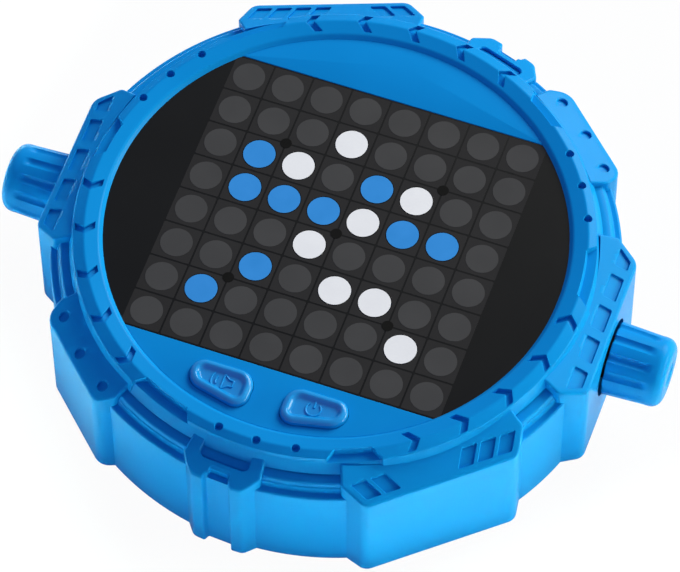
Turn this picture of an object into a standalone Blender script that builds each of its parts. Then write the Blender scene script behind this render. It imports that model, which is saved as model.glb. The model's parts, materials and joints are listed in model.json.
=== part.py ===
"""Round handheld disc-flipping game: lugged drum case, chevron bezel, lit board of cells, two side dials."""

import math

import bmesh
import bpy
from mathutils import Matrix, Vector

MM = 0.001
ROUND_STEPS = 48
SMALL_STEPS = 12
HOLE_STEPS = 8
FACET = 360 / ROUND_STEPS
HEX_SIDES = 6
DIAGONAL = math.sqrt(2)

# Clearances
SEAT = 0.3 * MM
LOOSE = 0.5 * MM

# Playing board: the cell pitch drives the width of everything round it
CELL = 9.5 * MM
CELLS_PER_SIDE = 8
DISPLAY_BORDER = 0.5 * MM
CORNER_TRIM = 0.55 * MM
PANEL_THICK = 0.9 * MM
PANEL_SUNK = 0.1 * MM
PLATE_THICK = 2.0 * MM
PLATE_LEDGE = 1.5 * MM
DIFFUSER_THICK = 0.8 * MM
GRID_HEIGHT = 7.0 * MM
GRID_WALL = 1.2 * MM
GRID_RIM = 0.3 * MM

# Bezel ring
BEZEL_WIDTH = 7.4 * MM
LIP_WIDTH = 0.6 * MM
RIDGE_IN = 3.9 * MM
RIDGE_HEIGHT = 1.6 * MM
BROW_IN = 0.9 * MM
BROW_HEIGHT = 1.2 * MM
EAVE_SET = 0.9 * MM
EAVE_HEIGHT = 0.48 * MM
SECTORS = 3
SECTOR_START = 0.5
SLOT_SECTOR = 59.0
SHELF_WIDTH = 0.65 * MM
SLOT_DEPTH = 0.35 * MM
SLOT_INSET = 0.4 * MM
LONG_SLOT = (0.5, 16.0)
SHORT_SLOT = (47.5, 59.5)
SLOT_END_SLANT = 1.8
PIN_HOLES = (22.7, 31.7, 40.7)
PIN_HOLE_RADIUS = 0.85 * MM
PIN_HOLE_DEPTH = 1.6 * MM
CHEVRONS = (68.6, 80.6, 92.7, 104.7, 116.7)
CHEVRON_REACH = 2.3 * MM
CHEVRON_TRAIL = 1.7 * MM
CHEVRON_WIDTH = 1.8 * MM
CHEVRON_DEPTH = 0.8 * MM
CHEVRON_TAIL = 0.7 * MM

# Case drum
CASE_HEIGHT = 34.4 * MM
FOOT_PROUD = 0.8 * MM
WALL = 2.2 * MM
DECK_THICK = 2.6 * MM
TERRACE_WIDTH = 2.3 * MM
STEP_FLARE = 0.5 * MM
LEDGE_WIDTH = 1.7 * MM
LEDGE_DROP = 3.2 * MM
SHOULDER_THICK = 2.4 * MM

# Lugs round the drum: angle, half angle at the root, half angle of the corners, how far the flat stands out
LUG_BITE = 1.0 * MM
LUG_LIFT = 0.3 * MM
LUG_TOP_DROP = 2.3 * MM
LUG_TOP_FALL = 2.3 * MM
BIG_LUG_ROOT = 19.8
BIG_LUG_CORNER = 15.4
BIG_LUG_PROUD = 1.0 * MM
BIG_LUG_ROUND = 1.2 * MM
DIAL_LUGS = (0.0, 180.0)
POCKET_LUGS = ((110.8, 4), (-49.6, 3))
HOLE_LUGS = (46.5, -133.5)
HOLE_LUG_ROOT = 13.0
HOLE_LUG_CORNER = 10.6
HOLE_LUG_PROUD = 1.7 * MM
HOLE_LUG_ROUND = 4.0 * MM
LUG_HOLE_RADIUS = 1.25 * MM
LUG_HOLE_PITCH = 9.0
LUG_HOLE_INSET = 2.5 * MM
LUG_HOLE_DEPTH = 0.9 * MM
RIB_LUGS = (71.8, -93.8)
RIB_LUG_ROOT = 8.4
RIB_LUG_CORNER = 5.2
RIB_LUG_PROUD = 2.3 * MM
RIB_GROOVE = 2.2
RIB_GROOVE_DEPTH = 1.4 * MM
SCOOP_HALF = 5.6 * MM
SCOOP_LENGTH = 2.4 * MM
SCOOP_DEPTH = 0.9 * MM
POCKET_DEPTH = 0.7 * MM
POCKET_INSET = 1.6 * MM
POCKET_LENGTH = 3.0 * MM
POCKET_WIDTH = 6.1 * MM
POCKET_PITCH = 8.6 * MM
POCKET_END_LEAN = 2.4 * MM
SIDE_POCKET_END = 19.5 * MM
SIDE_POCKET_LENGTH = 3.8 * MM
SIDE_POCKET_WIDTH = 3.5 * MM
SIDE_POCKET_PITCH = 4.6 * MM
SIDE_POCKET_LEAN = 2.3 * MM

# Dials and the push encoders behind them
DIAL_DROP = 17.5 * MM
DIAL_STROKE = 1.0 * MM
DIAL_BASE_RADIUS = 8.6 * MM
DIAL_TIP_RADIUS = 8.0 * MM
DIAL_LENGTH = 13.6 * MM
DIAL_ROUND = 4.8 * MM
DIAL_STANDOFF = 0.4 * MM
DIAL_SKIN = 1.7 * MM
DIAL_HOLLOW = 4.0 * MM
DIAL_DIMPLE_RADIUS = 3.6 * MM
DIAL_DIMPLE = 0.35 * MM
FLUTES = 12
FLUTE_RADIUS = 1.5 * MM
FLUTE_DEPTH = 0.65 * MM
FLUTE_STOP = 3.0 * MM
DIAL_SOCKET_DEPTH = 1.0 * MM
DIAL_SOCKET_GAP = 0.6 * MM
SHAFT_RADIUS = 2.5 * MM
SHAFT_IN_DIAL = 8.0 * MM
BUSH_WALL = 1.2 * MM
NUT_FLATS = 10.0 * MM
NUT_THICK = 2.0 * MM
BUSH_PAST_NUT = 0.6 * MM
ENCODER_SIDE = 13.0 * MM
ENCODER_DEPTH = 8.0 * MM
ENCODER_BACK = 1.2 * MM
PLUNGER_LENGTH = 1.5 * MM

# Keys on the face and their switches
KEY_INNER = 3.7 * MM
KEY_WIDTH = 14.9 * MM
KEY_OFFSET = 2.4 * MM
KEY_ROUND = 3.4 * MM
KEY_PROUD = 1.5 * MM
KEY_RIM = 2.0 * MM
KEY_DISH = 0.6 * MM
KEY_FLANGE = 0.6 * MM
KEY_FLANGE_THICK = 1.0 * MM
KEY_STEM_RADIUS = 2.0 * MM
KEY_STEM = 1.5 * MM
KEY_STROKE = 0.8 * MM
SWITCH_SIDE = 6.0 * MM
SWITCH_HEIGHT = 3.4 * MM
SWITCH_BUTTON_RADIUS = 1.6 * MM

# Main board
BOARD_THICK = 1.6 * MM
BOARD_EDGE_GAP = 2.4 * MM
BOARD_SIDE_GAP = 6.0 * MM
LIGHT_SIDE = 2.4 * MM
LIGHT_HEIGHT = 1.2 * MM
BOARD_POST_RADIUS = 3.0 * MM
BOARD_POST_INSET = 5.4 * MM
BOARD_POSTS = (60.0, 120.0, 240.0, 300.0)

# Screws
SCREW_RADIUS = 1.25 * MM
SCREW_LENGTH = 8.0 * MM
BOARD_SCREW_LENGTH = 4.4 * MM
SCREW_HEAD_RADIUS = 2.5 * MM
SCREW_HEAD = 1.2 * MM
SCREW_HEAD_CROWN = 0.5 * MM
CASE_POSTS = (30.0, 90.0, 150.0, 210.0, 270.0, 330.0)
CASE_POST_RADIUS = 4.2 * MM
CASE_POST_INSET = 3.7 * MM

# Bottom cover, battery bay and feet
COVER_THICK = 2.2 * MM
COVER_SUNK = 0.3 * MM
BATTERY_COUNT = 3
BATTERY_RADIUS = 5.1 * MM
BATTERY_LENGTH = 43.3 * MM
BATTERY_NUB_RADIUS = 1.9 * MM
BATTERY_NUB = 1.0 * MM
CONTACT_THICK = 0.5 * MM
CONTACT_SPRING = 3.0 * MM
CONTACT_SPRING_RADIUS = 2.6 * MM
CONTACT_TIP_RADIUS = 1.4 * MM
BAY_CENTRE_Y = 6.0 * MM
BAY_WALL = 2.6 * MM
BAY_ROOF = 1.8 * MM
DOOR_THICK = 1.6 * MM
DOOR_LEDGE = 1.5 * MM
DOOR_TONGUE = 12.0 * MM
DOOR_BOSS_RADIUS = 4.2 * MM
DOOR_BOSS = 1.2 * MM
DOOR_TAB_WIDTH = 8.0 * MM
DOOR_TAB_REACH = 1.6 * MM
DOOR_TAB_THICK = 0.8 * MM
DOOR_TAB_X = 14.0 * MM
SPEAKER_RADIUS = 14.0 * MM
SPEAKER_HEIGHT = 4.8 * MM
SPEAKER_RIM = 2.4 * MM
SPEAKER_MAGNET_RADIUS = 7.7 * MM
SPEAKER_CONE_RADIUS = 11.2 * MM
SPEAKER_DOME_RADIUS = 3.4 * MM
SPEAKER_CONE_DEPTH = 1.6 * MM
SPEAKER_CENTRE_Y = -37.0 * MM
SPEAKER_RING = 1.4 * MM
SPEAKER_RING_HEIGHT = 3.0 * MM
GRILLE_BARS = 7
GRILLE_PITCH = 3.2 * MM
GRILLE_SLOT = 1.5 * MM
FOOT_RADIUS = 4.5 * MM
FOOT_INSET = 11.0 * MM
FOOT_RECESS = 0.8 * MM
FEET = (45.0, 135.0, 225.0, 315.0)

# Heights and radii that follow from the sizes above
FACE_Z = FOOT_PROUD + CASE_HEIGHT
GRID_HALF = CELL * CELLS_PER_SIDE / 2
DISPLAY_HALF = GRID_HALF + DISPLAY_BORDER
GRID_OUTER = GRID_HALF + GRID_RIM
WINDOW_RADIUS = GRID_HALF * DIAGONAL - CORNER_TRIM
FACE_RADIUS = WINDOW_RADIUS - SEAT
LIP_INNER = FACE_RADIUS - LIP_WIDTH
PLATE_BOTTOM = FACE_Z - PLATE_THICK
LIP_TOP = PLATE_BOTTOM - SEAT
BEZEL_BOTTOM = LIP_TOP - DIFFUSER_THICK
RIDGE_RADIUS = WINDOW_RADIUS + RIDGE_IN
FLANGE_RADIUS = WINDOW_RADIUS + BEZEL_WIDTH
EAVE_RADIUS = FLANGE_RADIUS - EAVE_SET
SHELF_RADIUS = EAVE_RADIUS - SHELF_WIDTH
DECK_TOP = BEZEL_BOTTOM - SEAT
DECK_BOTTOM = DECK_TOP - DECK_THICK
OPENING_RADIUS = GRID_OUTER * DIAGONAL + LOOSE
STEP_RADIUS = FLANGE_RADIUS + TERRACE_WIDTH
LEDGE_RADIUS = STEP_RADIUS + STEP_FLARE
LEDGE_Z = DECK_TOP - LEDGE_DROP
WALL_RADIUS = LEDGE_RADIUS + LEDGE_WIDTH
INNER_RADIUS = WALL_RADIUS - WALL
SHOULDER_RADIUS = STEP_RADIUS - WALL
SHOULDER_Z = min(LEDGE_Z - SHOULDER_THICK, DECK_BOTTOM)
LUG_INNER = FLANGE_RADIUS + SEAT
GRID_TOP = BEZEL_BOTTOM - SEAT
GRID_BOTTOM = GRID_TOP - GRID_HEIGHT
BOARD_TOP = GRID_BOTTOM - SEAT
BOARD_BOTTOM = BOARD_TOP - BOARD_THICK
BOARD_RADIUS = INNER_RADIUS - BOARD_EDGE_GAP
BOARD_POST_R = INNER_RADIUS - BOARD_POST_INSET
CASE_POST_R = INNER_RADIUS - CASE_POST_INSET
DIAL_Z = FACE_Z - DIAL_DROP
DIAL_FLAT_X = WALL_RADIUS + BIG_LUG_PROUD
DIAL_BASE_X = DIAL_FLAT_X + DIAL_STANDOFF
SOCKET_FLOOR_X = DIAL_FLAT_X - DIAL_SOCKET_DEPTH
SHAFT_HOLE_RADIUS = SHAFT_RADIUS + SEAT
BUSH_RADIUS = SHAFT_HOLE_RADIUS + BUSH_WALL
BUSH_HOLE_RADIUS = BUSH_RADIUS + SEAT
NUT_X = SOCKET_FLOOR_X + SEAT
BUSH_END_X = NUT_X + NUT_THICK + BUSH_PAST_NUT
ENCODER_FRONT_X = math.sqrt(INNER_RADIUS**2 - (ENCODER_SIDE / 2) ** 2) - SEAT
ENCODER_BACK_X = ENCODER_FRONT_X - ENCODER_DEPTH
PLUNGER_X = ENCODER_BACK_X + ENCODER_BACK + DIAL_STROKE + SEAT
SHAFT_START_X = PLUNGER_X + PLUNGER_LENGTH + SEAT
HOLLOW_X = max(DIAL_BASE_X + DIAL_HOLLOW, BUSH_END_X + DIAL_STROKE + SEAT)
SHAFT_END_X = HOLLOW_X + SHAFT_IN_DIAL
BOARD_HALF_X = ENCODER_BACK_X - BOARD_SIDE_GAP
KEY_TOP_Y = -(DISPLAY_HALF + KEY_OFFSET)
KEY_ARC = LIP_INNER - LOOSE - KEY_FLANGE
KEY_CENTRE = Vector((KEY_INNER + KEY_WIDTH / 2, (KEY_TOP_Y - KEY_ARC) / 2))
KEY_FLANGE_TOP = PLATE_BOTTOM - SEAT
KEY_FLANGE_BOTTOM = KEY_FLANGE_TOP - KEY_FLANGE_THICK
KEY_STEM_END = KEY_FLANGE_BOTTOM - KEY_STEM
SWITCH_TOP = KEY_STEM_END - KEY_STROKE - SEAT
COVER_BOTTOM = FOOT_PROUD + COVER_SUNK
COVER_TOP = COVER_BOTTOM + COVER_THICK
COVER_RADIUS = INNER_RADIUS - SEAT
DOOR_TOP = COVER_BOTTOM + DOOR_THICK
BAY_FLOOR = DOOR_TOP + SEAT
BATTERY_Z = BAY_FLOOR + BATTERY_RADIUS
BATTERY_PITCH = 2 * BATTERY_RADIUS + SEAT
BAY_HALF_X = BATTERY_LENGTH / 2 + BATTERY_NUB + CONTACT_SPRING + CONTACT_THICK + 2 * SEAT
BAY_HALF_Y = (BATTERY_COUNT * BATTERY_PITCH + SEAT) / 2
BAY_CEILING = BATTERY_Z + BATTERY_RADIUS + SEAT
DOOR_HALF_X = BAY_HALF_X + DOOR_LEDGE
DOOR_LOW_Y = BAY_CENTRE_Y - BAY_HALF_Y - DOOR_LEDGE
DOOR_HIGH_Y = BAY_CENTRE_Y + BAY_HALF_Y + DOOR_TONGUE
DOOR_SCREW_Y = DOOR_HIGH_Y - DOOR_TONGUE / 2
DOOR_BOSS_TOP = DOOR_TOP + DOOR_BOSS
HEAD_SEAT = COVER_BOTTOM + SCREW_HEAD + SEAT
FOOT_R = COVER_RADIUS - FOOT_INSET

# Colours in linear light
BLUE = (0.0075, 0.235, 0.68)
BLACK = (0.012, 0.012, 0.012)
WHITE = (0.75, 0.75, 0.73)
GREEN = (0.02, 0.14, 0.05)
STEEL = (0.55, 0.55, 0.53)
DARK = (0.03, 0.03, 0.032)
GOLD = (0.55, 0.42, 0.18)


def collection(name):
    """A new collection linked to the scene."""
    made = bpy.data.collections.new(name)
    bpy.context.scene.collection.children.link(made)
    return made


def finish(name, colour, roughness, metallic=0.0):
    """A Principled material."""
    made = bpy.data.materials.new(name)
    made.use_nodes = True
    shader = made.node_tree.nodes["Principled BSDF"]
    shader.inputs["Base Color"].default_value = (*colour, 1.0)
    shader.inputs["Roughness"].default_value = roughness
    shader.inputs["Metallic"].default_value = metallic
    return made


def polar(radius, degrees):
    """A plan point at this radius and angle."""
    return Vector((radius * math.cos(math.radians(degrees)), radius * math.sin(math.radians(degrees))))


def arc(radius, start, stop, steps):
    """Plan points along a circle about the drum's axis."""
    return [polar(radius, start + (stop - start) * i / steps) for i in range(steps + 1)]


def rounded(outline, radius, steps=4):
    """The outline with each corner replaced by an arc, limited by half its shorter side."""
    made = []
    for i, corner in enumerate(outline):
        before = outline[i - 1] - corner
        after = outline[(i + 1) % len(outline)] - corner
        half = before.angle(after) / 2
        set_back = min(radius / math.tan(half), before.length / 2, after.length / 2)
        start = corner + before.normalized() * set_back
        stop = corner + after.normalized() * set_back
        for k in range(steps + 1):
            t = k / steps
            made.append((1 - t) ** 2 * start + 2 * t * (1 - t) * corner + t**2 * stop)
    return made


def turn(points, degrees):
    """Plan points turned about the drum's axis."""
    spin = Matrix.Rotation(math.radians(degrees), 2)
    return [spin @ Vector(p) for p in points]


class Shape:
    """A mesh gathered from boxes, cylinders and raised outlines."""

    def __init__(self):
        self.bm = bmesh.new()

    def box(self, low, high):
        size = Vector(high) - Vector(low)
        middle = (Vector(high) + Vector(low)) / 2
        place = Matrix.Translation(middle) @ Matrix.Diagonal((*size, 1))
        bmesh.ops.create_cube(self.bm, size=1, matrix=place)
        return self

    def cylinder(self, start, end, radius, end_radius=None, steps=SMALL_STEPS):
        start, end = Vector(start), Vector(end)
        along = end - start
        aim = Vector((0, 0, 1)).rotation_difference(along).to_matrix().to_4x4()
        bmesh.ops.create_cone(
            self.bm,
            cap_ends=True,
            segments=steps,
            radius1=radius,
            radius2=radius if end_radius is None else end_radius,
            depth=along.length,
            matrix=Matrix.Translation((start + end) / 2) @ aim,
        )
        return self

    def raised(self, outline, bottom, top):
        """A flat outline filled and raised; bottom and top are heights, or functions of a plan point."""
        curve = bpy.data.curves.new("outline", "CURVE")
        curve.dimensions = "2D"
        curve.fill_mode = "BOTH"
        curve.extrude = MM
        spline = curve.splines.new("POLY")
        spline.points.add(len(outline) - 1)
        for point, place in zip(spline.points, outline):
            point.co = (place[0], place[1], 0, 1)
        spline.use_cyclic_u = True
        guide = bpy.data.objects.new("outline", curve)
        mesh = bpy.data.meshes.new_from_object(guide)
        bpy.data.objects.remove(guide)
        bpy.data.curves.remove(curve)
        piece = bmesh.new()
        piece.from_mesh(mesh)
        for vert in piece.verts:
            height = top if vert.co.z > 0 else bottom
            vert.co.z = height(vert.co.xy) if callable(height) else height
        bmesh.ops.remove_doubles(piece, verts=piece.verts, dist=MM / 1000)
        piece.to_mesh(mesh)
        piece.free()
        self.bm.from_mesh(mesh)
        bpy.data.meshes.remove(mesh)
        return self

    def loft(self, sections):
        """Closed body through sections of equal point count, capped at both ends."""
        rings = [[self.bm.verts.new(p) for p in section] for section in sections]
        for low, high in zip(rings, rings[1:]):
            for i in range(len(low)):
                k = (i + 1) % len(low)
                self.bm.faces.new((low[i], low[k], high[k], high[i]))
        self.bm.faces.new(rings[0][::-1])
        self.bm.faces.new(rings[-1])
        return self

    def stepped(self, stations, steps=SMALL_STEPS):
        """A round body through (centre, radius) stations along one straight axis."""
        along = Vector(stations[-1][0]) - Vector(stations[0][0])
        aim = Vector((0, 0, 1)).rotation_difference(along)
        angles = [2 * math.pi * i / steps for i in range(steps)]
        spokes = [aim @ Vector((math.cos(a), math.sin(a), 0)) for a in angles]
        sections = [[Vector(centre) + radius * spoke for spoke in spokes] for centre, radius in stations]
        return self.loft(sections)

    def mesh(self, name):
        bmesh.ops.recalc_face_normals(self.bm, faces=self.bm.faces)
        made = bpy.data.meshes.new(name)
        self.bm.to_mesh(made)
        self.bm.free()
        return made


class Workshop:
    """The parts' and cutters' collections, with the ways of making and joining pieces."""

    def __init__(self, parts, cutters):
        self.parts = parts
        self.cutters = cutters

    def part(self, name, mesh, material, origin=(0, 0, 0), aim=(0, 0, 0)):
        """A named part; its mesh is given about the origin it will sit at."""
        made = bpy.data.objects.new(name, mesh)
        mesh.materials.append(material)
        self.parts.objects.link(made)
        made.location = origin
        made.rotation_euler = aim
        return made

    def solid(self, name, shape, material, origin=(0, 0, 0)):
        """A part from a gathered shape in world places, its origin moved to the given point."""
        mesh = shape.mesh(name)
        mesh.transform(Matrix.Translation(-Vector(origin)))
        return self.part(name, mesh, material, origin)

    def turned(self, name, profile, material, origin=(0, 0, 0), aim=(0, 0, 0), steps=ROUND_STEPS):
        """A part turned from a profile of (radius, height), closed unless it starts and ends on the axis."""
        made = self.part(name, profile_mesh(name, profile), material, origin, aim)
        screw(made, steps)
        return made

    def helper(self, name, mesh):
        """A cutter or joined shape, left out of the render."""
        made = bpy.data.objects.new(name, mesh)
        self.cutters.objects.link(made)
        made.hide_render = True
        made.display_type = "WIRE"
        return made

    def change(self, part, operation, name, shape):
        """Joins a gathered shape to a part, or cuts it away."""
        tool = self.helper(name, shape.mesh(name))
        tool.location = part.location
        tool.data.transform(Matrix.Translation(-part.location))
        boolean(part, operation, tool)

    def cut(self, part, name, shape):
        self.change(part, "DIFFERENCE", name, shape)

    def join(self, part, name, shape):
        self.change(part, "UNION", name, shape)


def boolean(part, operation, tool):
    """A Boolean on the part, worked by the exact solver."""
    step = part.modifiers.new(tool.name, "BOOLEAN")
    step.operation = operation
    step.object = tool
    step.solver = "EXACT"


def profile_mesh(name, profile):
    """Edges through (radius, height) points, closed unless both ends lie on the axis."""
    mesh = bpy.data.meshes.new(name)
    edges = [(i, i + 1) for i in range(len(profile) - 1)]
    if profile[0][0] > 0 or profile[-1][0] > 0:
        edges.append((len(profile) - 1, 0))
    mesh.from_pydata([(radius, 0, height) for radius, height in profile], edges, [])
    return mesh


def screw(part, steps):
    """Turns the part's profile about its own Z."""
    turned = part.modifiers.new("turn", "SCREW")
    turned.axis = "Z"
    turned.steps = steps
    turned.render_steps = steps
    turned.use_merge_vertices = True
    turned.merge_threshold = 0.01 * MM
    turned.use_smooth_shade = True


def lug_corner(proud, half_angle):
    """The corner of a lug whose outer face is flat and stands proud of the drum wall."""
    face = WALL_RADIUS + proud
    return Vector((face, face * math.tan(math.radians(half_angle))))


def lug_outline(root, corners):
    """A lug about +X: from beside the bezel, along its root, to its outer corners and back."""
    sides = [LUG_INNER, WALL_RADIUS - LUG_BITE]
    low = [polar(radius, -root) for radius in sides]
    high = [polar(radius, root) for radius in reversed(sides)]
    return low + corners + high + arc(LUG_INNER, root, -root, math.ceil(2 * root / FACET))[1:-1]


def big_lug():
    corner = lug_corner(BIG_LUG_PROUD, BIG_LUG_CORNER)
    foot = polar(WALL_RADIUS - LUG_BITE, BIG_LUG_ROOT)
    ends = [Vector((foot.x, -foot.y)), Vector((corner.x, -corner.y)), corner, foot]
    return lug_outline(BIG_LUG_ROOT, rounded(ends, BIG_LUG_ROUND, 2)[3:-3])


def hole_lug():
    corner = lug_corner(HOLE_LUG_PROUD, HOLE_LUG_CORNER)
    foot = polar(WALL_RADIUS - LUG_BITE, HOLE_LUG_ROOT)
    ends = [Vector((foot.x, -foot.y)), Vector((corner.x, -corner.y)), corner, foot]
    return lug_outline(HOLE_LUG_ROOT, rounded(ends, HOLE_LUG_ROUND)[5:-5])


def rib_lug():
    outer = WALL_RADIUS + RIB_LUG_PROUD
    groove = outer - RIB_GROOVE_DEPTH
    half = [polar(groove, RIB_GROOVE), polar(outer, RIB_GROOVE), polar(outer, RIB_LUG_CORNER)]
    mirrored = [Vector((p.x, -p.y)) for p in reversed(half)]
    return lug_outline(RIB_LUG_ROOT, mirrored + half)


def lug_top(angle):
    """Height of a lug's sloping top as a function of a plan point."""
    outward = polar(1, angle)
    slope = LUG_TOP_FALL / (DIAL_FLAT_X - LUG_INNER)
    return lambda point: FACE_Z - LUG_TOP_DROP - slope * (point.dot(outward) - LUG_INNER)


def pocket(start, stop, length, start_lean, stop_lean):
    """A pocket's plan about +X between two sideways places; each end may lean sideways going outward."""
    outer = DIAL_FLAT_X - POCKET_INSET
    inner = outer - length
    return [
        Vector((inner, start)),
        Vector((outer, start + start_lean)),
        Vector((outer, stop + stop_lean)),
        Vector((inner, stop)),
    ]


def dial_pockets():
    """Plans of the row of pockets in a dial lug's top, the end ones leaning in."""
    for k in range(-2, 3):
        start = k * POCKET_PITCH - POCKET_WIDTH / 2
        start_lean = POCKET_END_LEAN if k == -2 else 0
        stop_lean = -POCKET_END_LEAN if k == 2 else 0
        yield pocket(start, start + POCKET_WIDTH, POCKET_LENGTH, start_lean, stop_lean)


def side_pockets(count):
    """Plans of two pockets at one end of a lug's top and of a few at the other."""
    for k in range(2):
        start = k * SIDE_POCKET_PITCH - SIDE_POCKET_END
        stop = start + SIDE_POCKET_WIDTH
        yield pocket(start, stop, SIDE_POCKET_LENGTH, SIDE_POCKET_LEAN, SIDE_POCKET_LEAN)
    for k in range(round(count)):
        stop = SIDE_POCKET_END - k * SIDE_POCKET_PITCH
        start = stop - SIDE_POCKET_WIDTH
        yield pocket(start, stop, SIDE_POCKET_LENGTH, -SIDE_POCKET_LEAN, -SIDE_POCKET_LEAN)


def lug_plans():
    """Angle and plan of each lug."""
    for angle in DIAL_LUGS + tuple(angle for angle, _ in POCKET_LUGS):
        yield angle, big_lug()
    for angle in HOLE_LUGS:
        yield angle, hole_lug()
    for angle in RIB_LUGS:
        yield angle, rib_lug()


def post_places(radius, angles):
    return [polar(radius, angle) for angle in angles]


def make_housing(shop, blue):
    """Drum with terraces and lugs, open below, with posts for the cover and the board."""
    crease = (DECK_TOP + LEDGE_Z) / 2
    profile = [
        (OPENING_RADIUS, DECK_TOP),
        (STEP_RADIUS, DECK_TOP),
        (STEP_RADIUS + STEP_FLARE / 2, crease),
        (LEDGE_RADIUS, crease),
        (LEDGE_RADIUS, LEDGE_Z),
        (WALL_RADIUS, LEDGE_Z),
        (WALL_RADIUS, FOOT_PROUD),
        (OPENING_RADIUS, FOOT_PROUD),
    ]
    housing = shop.turned("housing", profile, blue)
    for k, (angle, plan) in enumerate(lug_plans(), 1):
        lug = Shape().raised(turn(plan, angle), FOOT_PROUD + LUG_LIFT, lug_top(angle))
        shop.join(housing, f"lug_{k}", lug)
    hollow = shop.helper("hollow", profile_mesh("hollow", [
        (0, DECK_BOTTOM),
        (SHOULDER_RADIUS, DECK_BOTTOM),
        (SHOULDER_RADIUS, SHOULDER_Z),
        (INNER_RADIUS, SHOULDER_Z),
        (INNER_RADIUS, 0),
        (0, 0),
    ]))
    screw(hollow, ROUND_STEPS)
    boolean(housing, "DIFFERENCE", hollow)
    posts = Shape()
    bite = DECK_THICK / 2
    for place in post_places(CASE_POST_R, CASE_POSTS):
        posts.cylinder((*place, COVER_TOP + SEAT), (*place, DECK_BOTTOM + bite), CASE_POST_RADIUS)
    for place in post_places(BOARD_POST_R, BOARD_POSTS):
        posts.cylinder((*place, BOARD_TOP + SEAT), (*place, DECK_BOTTOM + bite), BOARD_POST_RADIUS)
    shop.join(housing, "posts", posts)
    holes = Shape()
    hole = SCREW_RADIUS + SEAT
    for place in post_places(CASE_POST_R, CASE_POSTS):
        end = HEAD_SEAT + SCREW_LENGTH
        holes.cylinder((*place, 0), (*place, end), hole, steps=HOLE_STEPS)
    for place in post_places(BOARD_POST_R, BOARD_POSTS):
        end = BOARD_BOTTOM + BOARD_SCREW_LENGTH + SEAT
        holes.cylinder((*place, BOARD_BOTTOM), (*place, end), hole, steps=HOLE_STEPS)
    shop.cut(housing, "screw_holes", holes)
    for k, recess in enumerate(lug_recesses(), 1):
        shop.cut(housing, f"lug_recess_{k}", recess)
    shop.cut(housing, "dial_bores", dial_bores())
    return housing


def lug_recesses():
    """What is sunk into each lug's top, lug by lug: a row of pockets, pin holes or a scoop."""
    rows = [(angle, dial_pockets()) for angle in DIAL_LUGS]
    rows += [(angle, side_pockets(count)) for angle, count in POCKET_LUGS]
    for angle, plans in rows:
        top = lug_top(angle)
        shape = Shape()
        for plan in plans:
            shape.raised(turn(plan, angle), lambda p, top=top: top(p) - POCKET_DEPTH, FACE_Z)
        yield shape
    for angle in HOLE_LUGS:
        top = lug_top(angle)
        shape = Shape()
        for k in (-1, 0, 1):
            place = polar(WALL_RADIUS + HOLE_LUG_PROUD - LUG_HOLE_INSET, angle + k * LUG_HOLE_PITCH)
            shape.cylinder((*place, top(place) - LUG_HOLE_DEPTH), (*place, FACE_Z), LUG_HOLE_RADIUS)
        yield shape
    for angle in RIB_LUGS:
        top = lug_top(angle)
        plan = [
            Vector((LUG_INNER - SEAT, -SCOOP_HALF)),
            Vector((LUG_INNER + SCOOP_LENGTH, -SCOOP_HALF)),
            Vector((LUG_INNER + SCOOP_LENGTH, SCOOP_HALF)),
            Vector((LUG_INNER - SEAT, SCOOP_HALF)),
        ]
        plan = turn(rounded(plan, SCOOP_LENGTH / 2, 2), angle)
        yield Shape().raised(plan, lambda p, top=top: top(p) - SCOOP_DEPTH, FACE_Z)


def dial_bores():
    """Round socket in each dial lug's face and the hole behind it for the encoder's bush."""
    shape = Shape()
    socket = DIAL_BASE_RADIUS + DIAL_SOCKET_GAP
    for side in (-1, 1):
        rim = (side * (DIAL_FLAT_X + LOOSE), 0, DIAL_Z)
        floor = (side * SOCKET_FLOOR_X, 0, DIAL_Z)
        inside = (side * (INNER_RADIUS - WALL), 0, DIAL_Z)
        stations = [(inside, BUSH_HOLE_RADIUS), (floor, BUSH_HOLE_RADIUS), (floor, socket), (rim, socket)]
        shape.stepped(stations, 24)
    return shape


def roof_height(radius):
    """Height of the bezel's roof: nearly flat inside the ridge, falling outside it."""
    if radius < RIDGE_RADIUS:
        rise = (RIDGE_HEIGHT - BROW_HEIGHT) / (RIDGE_IN - BROW_IN)
    else:
        rise = (EAVE_HEIGHT - RIDGE_HEIGHT) / (EAVE_RADIUS - RIDGE_RADIUS)
    return FACE_Z + RIDGE_HEIGHT + rise * (radius - RIDGE_RADIUS)


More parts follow.
